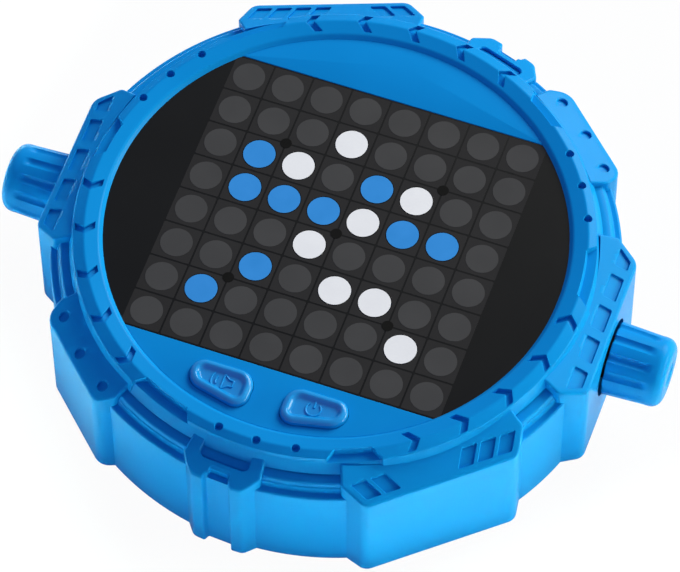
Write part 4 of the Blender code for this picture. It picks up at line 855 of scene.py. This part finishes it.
def bezel_skin():
    """The whole ring: where chevrons are, a straight line of the grid leans back by lean * |r - ridge|, and
    near a slot's two ends it leans into the slot towards the middle. Both fade out between the features."""
    straight = bezel_turns()
    lean = step(straight, LEAN_FROM, LEAN_FROM_SOFT) * (1 - step(straight, LEAN_TO, LEAN_TO_SOFT))
    radius, height = bezel_profile().T
    trail = np.degrees(CHEVRON_LEAN * np.abs(radius - ridge_radius) / ridge_radius)
    trail = np.minimum(trail, CHEVRON_TRAIL)
    slant = SLOT_SLANT * (1 - np.clip((radius - slot_in) / (slot_out - slot_in), 0, 1))
    turn = straight[None] + slant[:, None] * slot_skew(straight)[None] - trail[:, None] * lean[None]
    level = bezel_height(radius[:, None], turn, straight[None] + 0 * turn, height[:, None] + 0 * turn)
    thirds = [raised(polar(radius[:, None], turn + k * THIRD), level) for k in range(3)]
    return np.concatenate(thirds, axis=1)


dress(surface("bezel_roof", bezel_skin(), sharp=BEZEL_SHARP), game_blue, stands_for=["bezel_ring"])

# %% [markdown]
# ## The smoked window
# The face holds a black window, a circle cut by two level chords. It is a flat plate, and its upper rim is
# rounded a little, so that a thin edge shows where it meets the blue face.

# %% Window
WINDOW_EDGE = 0.15 * MM
ARC_POINTS = 90


def plate(outline, low, high, edge):
    """Rows of a flat plate whose upper rim is rounded: rim, quarter round inwards, then its middle."""
    inward = inward_normals(outline)
    quarter = np.linspace(0, np.pi / 2, 5)
    middle = np.broadcast_to(outline.mean(axis=0), outline.shape)
    rows = [raised(middle, low), raised(outline, low)]
    rows += [raised(outline + edge * (1 - np.cos(q)) * inward, high - edge * (1 - np.sin(q)))
             for q in quarter]
    return np.stack(rows + [raised(middle, high)])


chord = np.degrees(np.arcsin(panel_half / face_radius))
window_turns = [np.linspace(start - chord, start + chord, ARC_POINTS) for start in (0, 180)]
window_arcs = [polar(face_radius, turns) for turns in window_turns]
window_rows = plate(np.concatenate(window_arcs), panel_bottom, panel_top, WINDOW_EDGE)
window = surface("smoked_window", window_rows, wrap_rows=False)
dress(window, window_black, stands_for=["display_panel"])

# %% [markdown]
# ## The board's squares
# Behind the window lies an eight-by-eight board of dark squares with thin lines between them. Each square
# is a thin prism, and all of them are stamped at once from one outline and an array of places.

# %% Squares
BOARD_CELLS = 8
LINE_WIDTH = 0.42 * MM
SQUARE_ROUND = 0.3 * MM
MARK_SINK = 0.05 * MM
SQUARE_RISE = 0.03 * MM


def stamped(name, outline, places, low, high):
    """One thin prism at every place: the same rows moved by an array of plan places, all in one mesh."""
    one = prism(outline, low, high)
    rows, columns = one.shape[:2]
    moved = one.reshape(-1, 3)[None] + raised(np.asarray(places, float), 0)[:, None]
    first_points = np.arange(len(moved)) * rows * columns
    faces = grid_faces(rows, columns, False, True)[None] + first_points[:, None, None]
    return solid(name, moved.reshape(-1, 3), faces.reshape(-1, 4))


across = (np.arange(BOARD_CELLS) - (BOARD_CELLS - 1) / 2) * CELL
places = np.stack(np.meshgrid(across, across[::-1]), axis=-1)
half_square = (CELL - LINE_WIDTH) / 2
square = soften(half_square * np.array([(-1, -1), (1, -1), (1, 1), (-1, 1)]), SQUARE_ROUND, 4)
square_top = panel_top + SQUARE_RISE
squares = stamped("board_squares", square, places.reshape(-1, 2), panel_top - MARK_SINK, square_top)
dress(squares, cell_grey)

# %% [markdown]
# ## Discs and guide dots
# A round disc lies on each square. Most are unlit and grey, and some are lit white or blue, with a thin
# black rim that sets them off. Five small dots mark the middle and the corners of the inner field, as such
# boards have. Rows are counted from the back and columns from the left.

# %% Discs and guide dots
WHITE = [(1, 3), (2, 2), (2, 5), (3, 4), (4, 3), (5, 4), (5, 5), (6, 6)]
BLUE = [(2, 1), (2, 4), (3, 1), (3, 2), (3, 3), (3, 5), (3, 6), (5, 2), (6, 1)]
DISC, DISC_RISE = 0.39 * CELL, 0.03 * MM
RIM_WIDTH, RIM_RISE = 0.2 * MM, 0.015 * MM
DOT_SHARE, DOT_RISE = 0.14, 0.045 * MM

lit = np.full((BOARD_CELLS, BOARD_CELLS), "grey", dtype=object)
lit[tuple(np.transpose(WHITE))] = "white"
lit[tuple(np.transpose(BLUE))] = "blue"
circle = polar(1.0, np.linspace(0, 360, 48, endpoint=False))
mark_low = square_top - MARK_SINK

rim_circle = circle * (DISC + RIM_WIDTH)
rims = stamped("disc_rims", rim_circle, places[lit != "grey"], mark_low, square_top + RIM_RISE)
dress(rims, dot_black)
for shade, disc_finish in (("grey", disc_grey), ("white", disc_white), ("blue", disc_blue)):
    discs = stamped(f"discs_{shade}", circle * DISC, places[lit == shade], mark_low, square_top + DISC_RISE)
    dress(discs, disc_finish)

dot_places = np.array([(0, 0), (-2, -2), (-2, 2), (2, -2), (2, 2)]) * CELL
dots = stamped("guide_dots", circle * DOT_SHARE * CELL, dot_places, mark_low, square_top + DOT_RISE)
dress(dots, dot_black)

# %% [markdown]
# ## The two keys
# A key is a soft pillow of the same plastic: its wall rises from the face, rolls over a rounded rim and
# dips into a dish. The rows are its outline moved inwards while the height follows that profile, and the
# last rows shrink to the middle.

# %% Keys
KEY_INNER, KEY_OUTER, KEY_ROUND = 3.7 * MM, 18.6 * MM, 4.0 * MM
KEY_INSET, KEY_ARC = 2.4 * MM, 51.19 * MM
KEY_SHOULDER, KEY_SLOPE, KEY_DISH = 1.35 * MM, 1.3 * MM, 0.9 * MM
KEY_SINK = 2 * MM
KEY_POINTS = 180
key_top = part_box("sound_button")[1].z
key_back = -(panel_half + SEAT + KEY_INSET)


def key_outline(side):
    """A key's plan: three straight sides and an arc beside the bezel, with rounded corners."""
    low = [(x, -np.sqrt(KEY_ARC**2 - x**2)) for x in (KEY_INNER, KEY_OUTER)]
    rounded = soften(np.array([(KEY_INNER, key_back), *low, (KEY_OUTER, key_back)]), KEY_ROUND, 16)
    closed = np.concatenate([rounded, rounded[:1]])
    return resample(closed, KEY_POINTS + 1)[:-1] * np.array([side, 1])


def key_skin(side):
    """Rows of a key as inset and height: wall, quarter-round shoulder, crest, a cosine fall into the dish,
    and the dish's floor shrinking to its middle."""
    outline = key_outline(side)
    inward = side * inward_normals(outline)
    middle = np.broadcast_to(outline.mean(axis=0), outline.shape)
    quarter = np.linspace(0, np.pi / 2, 9)
    fall = np.linspace(0, 1, 11)[1:]
    sections = [(0.0, face_z - KEY_SINK)]
    sections += [(KEY_SHOULDER * (1 - np.cos(q)), key_top - KEY_SHOULDER * (1 - np.sin(q)))
                 for q in quarter]
    sections += [(KEY_SHOULDER + KEY_SLOPE * t, key_top - KEY_DISH * (1 - np.cos(np.pi * t)) / 2)
                 for t in fall]
    rows = [raised(outline + inset * inward, height) for inset, height in sections]
    floor = rows[-1]
    rows += [floor + t * (raised(middle, floor[0, 2]) - floor) for t in (0.35, 0.7, 1.0)]
    return np.stack([raised(middle, face_z - KEY_SINK), *rows])


for key_side, key_name, key_body in ((-1, "sound", "sound_key"), (1, "power", "power_key")):
    key = surface(f"{key_name}_cap", key_skin(key_side), wrap_rows=False)
    dress(key, key_blue, key_body, stands_for=[f"{key_name}_button"])
key_middle = key_outline(1).mean(axis=0)
key_floor = key_top - KEY_DISH
print("key middle", np.round(key_middle, 5).tolist(), "dish floor", round(key_floor, 5))

# %% [markdown]
# ## The face
# What is left of the face is two segments of a circle, above and below the window. Each is a thin plate
# with a softened rim, and the lower one has an opening for each key, a hair wider than the key so that it
# can travel.

# %% Face segments
KEY_GAP = 0.12 * MM
CHORD_GAP = 0.05 * MM
FACE_EDGE = 0.12 * MM
SEGMENT_POINTS = 120
chord_turn = np.degrees(np.arcsin((panel_half + CHORD_GAP) / face_radius))
face_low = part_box("face_plate")[0].z
segment = polar(face_radius, np.linspace(chord_turn, 180 - chord_turn, SEGMENT_POINTS))


def key_tool(side):
    """The opening for one key: its outline moved outwards by the gap."""
    outline = key_outline(side)
    wider = outline - side * KEY_GAP * inward_normals(outline)
    return prism(wider, face_low - TOOL_CLEAR, face_z + TOOL_CLEAR)


for segment_name, face_side in (("upper", 1), ("lower", -1)):
    rows = plate(segment * face_side, face_low, face_z, FACE_EDGE)
    part = surface(f"face_{segment_name}", rows, wrap_rows=False)
    part = carve(part, [key_tool(-1), key_tool(1)]) if face_side < 0 else part
    dress(part, game_blue, stands_for=["face_plate"] if face_side < 0 else [])

# %% [markdown]
# ## Raised lines
# Each key's dish carries a raised sign drawn with rounded lines. A line is a small half-round section
# carried along a path in plan. An open line closes to a point at both ends, and a closed one runs into
# itself.

# %% Raised lines
SIGN_HALF, SIGN_RISE = 0.27 * MM, 0.3 * MM
SIGN_COLUMNS = 16


def line_rows(path, closed):
    """A half-round line along a plan path: at each path point, sideways half * cos a and upwards rise * sin
    a for a all the way round; an open line has its section shrunk to a point at both ends."""
    ahead = np.roll(path, -1, axis=0) - np.roll(path, 1, axis=0) if closed else np.gradient(path, axis=0)
    ahead /= np.linalg.norm(ahead, axis=1, keepdims=True)
    side = np.stack([-ahead[:, 1], ahead[:, 0]], axis=1)
    turn = np.linspace(0, 2 * np.pi, SIGN_COLUMNS, endpoint=False)
    plan = path[:, None] + SIGN_HALF * np.cos(turn)[None, :, None] * side[:, None]
    level = key_floor + SIGN_RISE * np.sin(turn)[None] + np.zeros((len(path), 1))
    rows = raised(plan, level)
    if closed:
        return rows
    first = rows[:1].mean(axis=1, keepdims=True).repeat(SIGN_COLUMNS, axis=1)
    last = rows[-1:].mean(axis=1, keepdims=True).repeat(SIGN_COLUMNS, axis=1)
    return np.concatenate([first, rows, last])


def sign(name, body, lines):
    """Several lines, each a path and whether it is closed, as one raised sign."""
    points, faces, used = [], [], 0
    for path, closed in lines:
        rows = line_rows(path, closed)
        points.append(rows.reshape(-1, 3))
        faces.append(grid_faces(*rows.shape[:2], closed, True) + used)
        used += points[-1].shape[0]
    return dress(solid(name, np.concatenate(points), np.concatenate(faces)), sign_painted_highlight, body)


print("a sign's line is", round(2 * SIGN_HALF, 5), "wide and stands", SIGN_RISE, "above the dish")

# %% [markdown]
# ## The signs on the keys
# One key has the common power sign, an open ring with a bar in its gap. The other has a plain loudspeaker,
# a horn with two waves beside it.

# %% Signs
RING_RADIUS, RING_FROM, RING_TO = 1.7 * MM, 132, 408
BAR_LOW, BAR_HIGH = 0.35 * MM, 1.95 * MM
HORN = MM * np.array([(2.6, 0.8), (1.6, 0.8), (0.2, 1.9), (0.2, -1.9), (1.6, -0.8), (2.6, -0.8)])
HORN_ROUND = 0.25 * MM
WAVE_CENTRE = np.array([0.5 * MM, 0])
WAVES = ((1.95 * MM, 30), (3.0 * MM, 32))

ring = key_middle + polar(RING_RADIUS, np.linspace(RING_FROM, RING_TO, 60))
bar = key_middle + np.linspace([0, BAR_LOW], [0, BAR_HIGH], 12)
sign("power_sign", "power_key", [(ring, False), (bar, False)])

sound_middle = key_middle * np.array([-1, 1])
horn_line = soften(HORN, HORN_ROUND, 5)
horn = sound_middle + resample(np.concatenate([horn_line, horn_line[:1]]), 81)[:-1]
waves = [(sound_middle + WAVE_CENTRE + polar(radius, np.linspace(180 - spread, 180 + spread, 24)), False)
         for radius, spread in WAVES]
sign("sound_sign", "sound_key", [(horn, True), *waves])

# %% [markdown]
# ## The knobs
# Each knob is a fluted cylinder on a horizontal shaft, slightly narrower at its tip, with a rounded end and
# a shallow dimple. Its radius is a function of the place along it and the turn round it: the turned
# profile, less a groove that follows a power of the cosine of twelve times the turn and fades out before
# the tip.

# %% Knobs
FLUTES, FLUTE_POWER = 12, 0.8
FLUTE_DEPTH, FLUTE_LAG, FLUTE_FADE = 0.65 * MM, 0.4 * MM, 2.4 * MM
KNOB_ROUND, KNOB_TAPER = 4.8 * MM, 0.6 * MM
DIMPLE_RADIUS, DIMPLE_SLOPE, DIMPLE_DEPTH = 3.0 * MM, 0.5 * MM, 0.3 * MM
HOLLOW_RADIUS, HOLLOW_DEPTH = 6.7 * MM, 4.0 * MM
KNOB_STEPS, KNOB_ROWS = 10, 48
KNOB_SHARP = 50


def knob_skin(side, columns=288):
    """A knob along X: profile points (r, h), turned about its axis, with r lowered by the grooves. The
    profile runs from the hollow's rim over the base's corner, along the side and the rounded tip, and back
    inside."""
    low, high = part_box("right_knob")
    base_radius, length = (high.z - low.z) / 2, high.x - low.x
    axis_z = (high.z + low.z) / 2
    dimple_floor = length - DIMPLE_DEPTH
    corners = [
        (HOLLOW_RADIUS, 0, 0.2),
        (base_radius, 0, 0.35),
        (base_radius - KNOB_TAPER, length, KNOB_ROUND / MM),
        (DIMPLE_RADIUS, length, 0.2),
        (DIMPLE_RADIUS - DIMPLE_SLOPE, dimple_floor, 0.2),
        (0, dimple_floor, 0),
        (0, HOLLOW_DEPTH, 0),
        (HOLLOW_RADIUS, HOLLOW_DEPTH, 0.2),
    ]
    line = soft_profile(corners, KNOB_STEPS)
    side_start, side_stop = 2 * KNOB_STEPS - 1, 3 * KNOB_STEPS
    side_line = resample(line[side_start:side_stop], KNOB_ROWS)
    profile = np.concatenate([line[:side_start], side_line, line[side_stop:]])
    radius, along = profile.T
    turn = np.linspace(0, 2 * np.pi, columns, endpoint=False)
    groove = np.clip(np.cos(FLUTES * turn), 0, 1)**FLUTE_POWER
    outside = np.zeros(len(profile))
    outside[KNOB_STEPS:side_start + KNOB_ROWS] = 1
    fade = outside * (1 - step(along, length - KNOB_ROUND + FLUTE_LAG, FLUTE_FADE))
    reach = radius[:, None] - FLUTE_DEPTH * fade[:, None] * groove[None]
    out = low.x + along[:, None] + 0 * reach
    return np.stack([side * out, reach * np.cos(turn), axis_z + reach * np.sin(turn)], axis=-1)


for knob_side, knob_name, knob_body in ((-1, "left", "left_dial"), (1, "right", "right_dial")):
    knob = surface(f"{knob_name}_grip", knob_skin(knob_side), sharp=KNOB_SHARP)
    dress(knob, game_blue, knob_body, stands_for=[f"{knob_name}_knob"])

# %% [markdown]
# ## The feet
# Underneath, four rubber feet carry the game. A foot is a turned button with a soft rim, so a softened
# profile carried round its own middle is all it needs.

# %% Feet
def foot_skin(node):
    """A rubber foot: a turned button whose rim is rounded where it meets the table."""
    low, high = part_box(node)
    centre, radius = (low + high) / 2, (high.x - low.x) / 2
    corners = [(0, high.z, 0), (radius, high.z, 0.1), (radius, low.z, 0.6), (0, low.z, 0)]
    return turned(soft_profile(corners, 8), 64) + np.array([centre.x, centre.y, 0])


for number in range(1, 5):
    foot = surface(f"rubber_foot_{number}", foot_skin(f"foot_{number}"))
    dress(foot, foot_rubber, stands_for=[f"foot_{number}"])

# %% [markdown]
# ## The screws
# Seven screws close the case and the battery door from below. A screw's head is a height field in polar
# coordinates: flat with a rounded rim, and a cross sunk into it where the driver goes. The rows are close
# together in the head, where the cross needs them.

# %% Screws
SHANK_RADIUS, HEAD_HEIGHT, HEAD_CROWN = 1.25 * MM, 1.2 * MM, 0.5 * MM
CROSS_HALF, CROSS_REACH, CROSS_DEPTH = 0.36 * MM, 1.55 * MM, 0.75 * MM
CROSS_SOFT, CROSS_END_SOFT = 0.14 * MM, 0.2 * MM
TIP_LENGTH, TIP_SHARE = 1 * MM, 0.5
HEAD_ROWS = 34


def screw_skin(node, columns=120):
    """A screw with its head down. Its rows run from the middle of the head over the rounded crown, along
    the shank to its tip. In the head each point rises by the depth where |x| or |y| is under the cross's
    half width."""
    low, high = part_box(node)
    centre, head_radius = (low + high) / 2, (high.x - low.x) / 2
    length, tip = high.z - low.z, TIP_SHARE * SHANK_RADIUS
    quarter = np.linspace(0, np.pi / 2, 7)
    flat = np.linspace(0, head_radius - HEAD_CROWN, HEAD_ROWS)
    crown = head_radius - HEAD_CROWN * (1 - np.sin(quarter[1:]))
    radius = np.concatenate([flat, crown, [head_radius, SHANK_RADIUS, SHANK_RADIUS, tip, 0]])
    level = np.concatenate([0 * flat, HEAD_CROWN * (1 - np.cos(quarter[1:])),
                            [HEAD_HEIGHT, HEAD_HEIGHT, length - TIP_LENGTH, length, length]])
    points = turned(np.stack([radius, low.z + level], axis=1), columns)
    across = np.minimum(np.abs(points[..., 0]), np.abs(points[..., 1]))
    in_reach = 1 - step(radius, CROSS_REACH, CROSS_END_SOFT)
    in_cross = (1 - step(across, CROSS_HALF, CROSS_SOFT)) * in_reach[:, None]
    in_head = np.arange(len(radius)) < len(flat)
    points[..., 2] += CROSS_DEPTH * in_cross * in_head[:, None]
    return points + np.array([centre.x, centre.y, 0])


for node in [f"case_screw_{k}" for k in range(1, 7)] + ["door_screw"]:
    screw = surface(f"cross_{node}", screw_skin(node), wrap_rows=False)
    dress(screw, screw_steel, stands_for=[node])

# %% [markdown]
# ## The solids that stay
# The boards, switches, encoders, cells and the two covers below already have the right shape, so they keep
# it and only take a finish, by their slot in the record or by name. The covers show from below, so a small
# bevel softens their edges; their triangles are loose and have to be welded first.

# %% Remaining solids
SOLID_FINISHES = {
    "blue_plastic": game_blue,
    "smoked_panel": window_black,
    "diffuser_white": diffuser_milk,
    "board_green": board_green,
    "steel": screw_steel,
    "dark_plastic": case_black,
    "contact_metal": spring_brass,
}
OWN_FINISHES = {
    "battery_1": cell_wrap,
    "battery_2": cell_wrap,
    "battery_3": cell_wrap,
    # The nuts take the near-black painted shade, so that the knobs' gaps look shadowed.
    "left_nut": nut_painted_shade,
    "right_nut": nut_painted_shade,
}
WELD_REACH = 0.001 * MM
COVER_BEVEL, COVER_BEVEL_STEPS, COVER_BEVEL_BEND = 0.25 * MM, 2, 50

record_slots = {entry["node"]: entry["material_slot"] for entry in frame["record"]["subparts"]}
for node, piece in nodes.items():
    finish = OWN_FINISHES.get(node, SOLID_FINISHES.get(record_slots.get(node), case_black))
    piece.data.materials.clear()
    piece.data.materials.append(finish)
for node in ("bottom_cover", "battery_door"):
    merge = nodes[node].modifiers.new("merge", "WELD")
    merge.merge_threshold = WELD_REACH
    soft_edge = nodes[node].modifiers.new("soft_edge", "BEVEL")
    soft_edge.width = COVER_BEVEL
    soft_edge.segments = COVER_BEVEL_STEPS
    soft_edge.angle_limit = np.radians(COVER_BEVEL_BEND)
    even = nodes[node].modifiers.new("even_shading", "WEIGHTED_NORMAL")
    even.keep_sharp = True
carried_over = sum(not piece.hide_render for piece in nodes.values())
print("carried over:", carried_over, "slots known:", len(record_slots))

# %% [markdown]
# ## The white floor
# The portrait is on plain white. A floor that is lit until it looks white would also flood the game with
# light, so the floor is matte and takes the shadow, and Light Path swaps most of it for plain white where
# the camera sees it. Mirrors get a smaller share, because the low walls reflect the floor and would turn
# pale.

# %% Floor
PAPER_TONE = (0.8, 0.8, 0.8, 1)
PLAIN_WHITE = 1.0
FLOOR_TO_CAMERA, FLOOR_TO_MIRRORS = 0.96, 0.2
FLOOR_SIZE = 6.0


def plain_white_share(tree, to_camera, to_mirrors):
    """How much plain white shows: one share for rays from the camera and one for rays from a mirror or
    clear glass, as the clamped sum of three Light Path outputs times their shares."""
    path = tree.nodes.new("ShaderNodeLightPath")
    rays = (("Is Camera Ray", to_camera), ("Is Glossy Ray", to_mirrors), ("Is Transmission Ray", to_mirrors))
    total = None
    for ray, part in rays:
        grown = tree.nodes.new("ShaderNodeMath")
        grown.operation = "MULTIPLY_ADD"
        grown.use_clamp = True
        tree.links.new(path.outputs[ray], grown.inputs[0])
        grown.inputs[1].default_value = part
        grown.inputs[2].default_value = 0.0
        if total:
            tree.links.new(total, grown.inputs[2])
        total = grown.outputs["Value"]
    return total


def white_paper():
    """The floor: matte white that takes shadows, mostly swapped for plain white where it is seen
    directly."""
    paper = bpy.data.materials.new("white_paper")
    paper.use_nodes = True
    tree = paper.node_tree
    tree.nodes.remove(tree.nodes["Principled BSDF"])
    matte = tree.nodes.new("ShaderNodeBsdfDiffuse")
    matte.inputs["Color"].default_value = PAPER_TONE
    glow = tree.nodes.new("ShaderNodeEmission")
    glow.inputs["Strength"].default_value = PLAIN_WHITE
    mix = tree.nodes.new("ShaderNodeMixShader")
    tree.links.new(plain_white_share(tree, FLOOR_TO_CAMERA, FLOOR_TO_MIRRORS), mix.inputs["Fac"])
    tree.links.new(matte.outputs["BSDF"], mix.inputs[1])
    tree.links.new(glow.outputs["Emission"], mix.inputs[2])
    tree.links.new(mix.outputs["Shader"], tree.nodes["Material Output"].inputs["Surface"])
    return paper


span = np.linspace(-FLOOR_SIZE / 2, FLOOR_SIZE / 2, 5)
floor_plan = np.stack(np.meshgrid(span, span), axis=-1)
floor_points = raised(floor_plan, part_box("foot_1")[0].z)
floor = surface("paper_floor", floor_points, wrap_rows=False, wrap_columns=False)
floor.data.materials.append(white_paper())
print("floor at", round(float(floor_points[0, 0, 2]), 5))

# %% [markdown]
# ## The air
# The world is plain white to the camera, to mirrors and to glass. What it sends onto the game is a weak
# bluish light that fills the shadows, as a bright room does.

# %% Air
SKY_TONE, SKY_STRENGTH = (0.36, 0.52, 1, 1), 0.385
AIR_TO_CAMERA, AIR_TO_MIRRORS = 1.0, 1.0

air = bpy.data.worlds.new("white_air")
air.use_nodes = True
air_tree = air.node_tree
soft_sky = air_tree.nodes["Background"]
soft_sky.inputs["Color"].default_value = SKY_TONE
soft_sky.inputs["Strength"].default_value = SKY_STRENGTH
white_sky = air_tree.nodes.new("ShaderNodeBackground")
white_sky.inputs["Strength"].default_value = PLAIN_WHITE
sky_mix = air_tree.nodes.new("ShaderNodeMixShader")
air_tree.links.new(plain_white_share(air_tree, AIR_TO_CAMERA, AIR_TO_MIRRORS), sky_mix.inputs["Fac"])
air_tree.links.new(soft_sky.outputs["Background"], sky_mix.inputs[1])
air_tree.links.new(white_sky.outputs["Background"], sky_mix.inputs[2])
air_tree.links.new(sky_mix.outputs["Shader"], air_tree.nodes["World Output"].inputs["Surface"])
bpy.context.scene.world = air
print("sky strength", SKY_STRENGTH)

# %% [markdown]
# ## The studio lamps
# A large soft lamp stands behind on the right, as the photograph's bright edges tell, and weaker ones fill
# the right and the front. Each is placed by its angles round the game and aimed at its middle. The table's
# columns are name, turn, rise, distance, width, height, watts and tone.

# %% Studio lamps
STUDIO_LAMPS = [
    ("key_lamp", 64, 32, 2.0, 1.4, 1.0, 46.0, (1, 0.98, 0.86)),
    ("right_fill", 10, 7, 1.0, 0.9, 0.2, 7.5, (1, 1, 0.7)),
    ("front_fill", -95, 5, 1.0, 1.2, 0.14, 0.8, (1, 1, 0.94)),
]


def area_lamp(name, width, height, watts, tone):
    """A soft rectangular lamp that the camera doesn't see."""
    light = bpy.data.lights.new(name, "AREA")
    light.shape = "RECTANGLE"
    light.size = width
    light.size_y = height
    light.energy = watts
    light.color = tone
    lamp = bpy.data.objects.new(name, light)
    lamp.visible_camera = False
    bpy.context.scene.collection.objects.link(lamp)
    return lamp


game_middle = Vector((0, 0, face_z / 2))
for lamp_name, lamp_turn, lamp_rise, away, width, height, watts, tone in STUDIO_LAMPS:
    lamp_plan = polar(away * np.cos(np.radians(lamp_rise)), lamp_turn)
    aim = Vector((*lamp_plan, away * np.sin(np.radians(lamp_rise))))
    lamp = area_lamp(lamp_name, width, height, watts, tone)
    lamp_aim = aim.to_track_quat("Z", "Y").to_matrix().to_4x4()
    lamp.matrix_world = Matrix.Translation(game_middle + aim) @ lamp_aim
print("studio lamps:", len(STUDIO_LAMPS))

# %% [markdown]
# ## The table lamps
# Four small lamps shine straight down on the table beside the game, so that the table's white sends soft
# light back on the walls but not on the tops of the lugs. The table's columns are name, turn, inner radius,
# width, depth and watts.

# %% Table lamps
TABLE_LAMPS = [
    ("front_table", -84, 0.076, 0.56, 0.26, 0.70),
    ("left_table", 170, 0.098, 0.36, 0.20, 1.0),
    ("corner_table", -137, 0.077, 0.13, 0.16, 0.22),
    ("right_table", -44, 0.077, 0.14, 0.20, 0.48),
]
TABLE_TONE = (0.6, 1, 0.8)
TABLE_LAMP_HEIGHT, TABLE_LAMP_SPREAD = 0.10, 16

for lamp_name, lamp_turn, inner_radius, width, depth, watts in TABLE_LAMPS:
    lamp = area_lamp(lamp_name, depth, width, watts, TABLE_TONE)
    lamp_place = Matrix.Translation((*polar(inner_radius + depth / 2, lamp_turn), TABLE_LAMP_HEIGHT))
    lamp.matrix_world = lamp_place @ Matrix.Rotation(np.radians(lamp_turn), 4, "Z")
    lamp.data.spread = np.radians(TABLE_LAMP_SPREAD)
print("lamps in all:", len(bpy.data.lights))
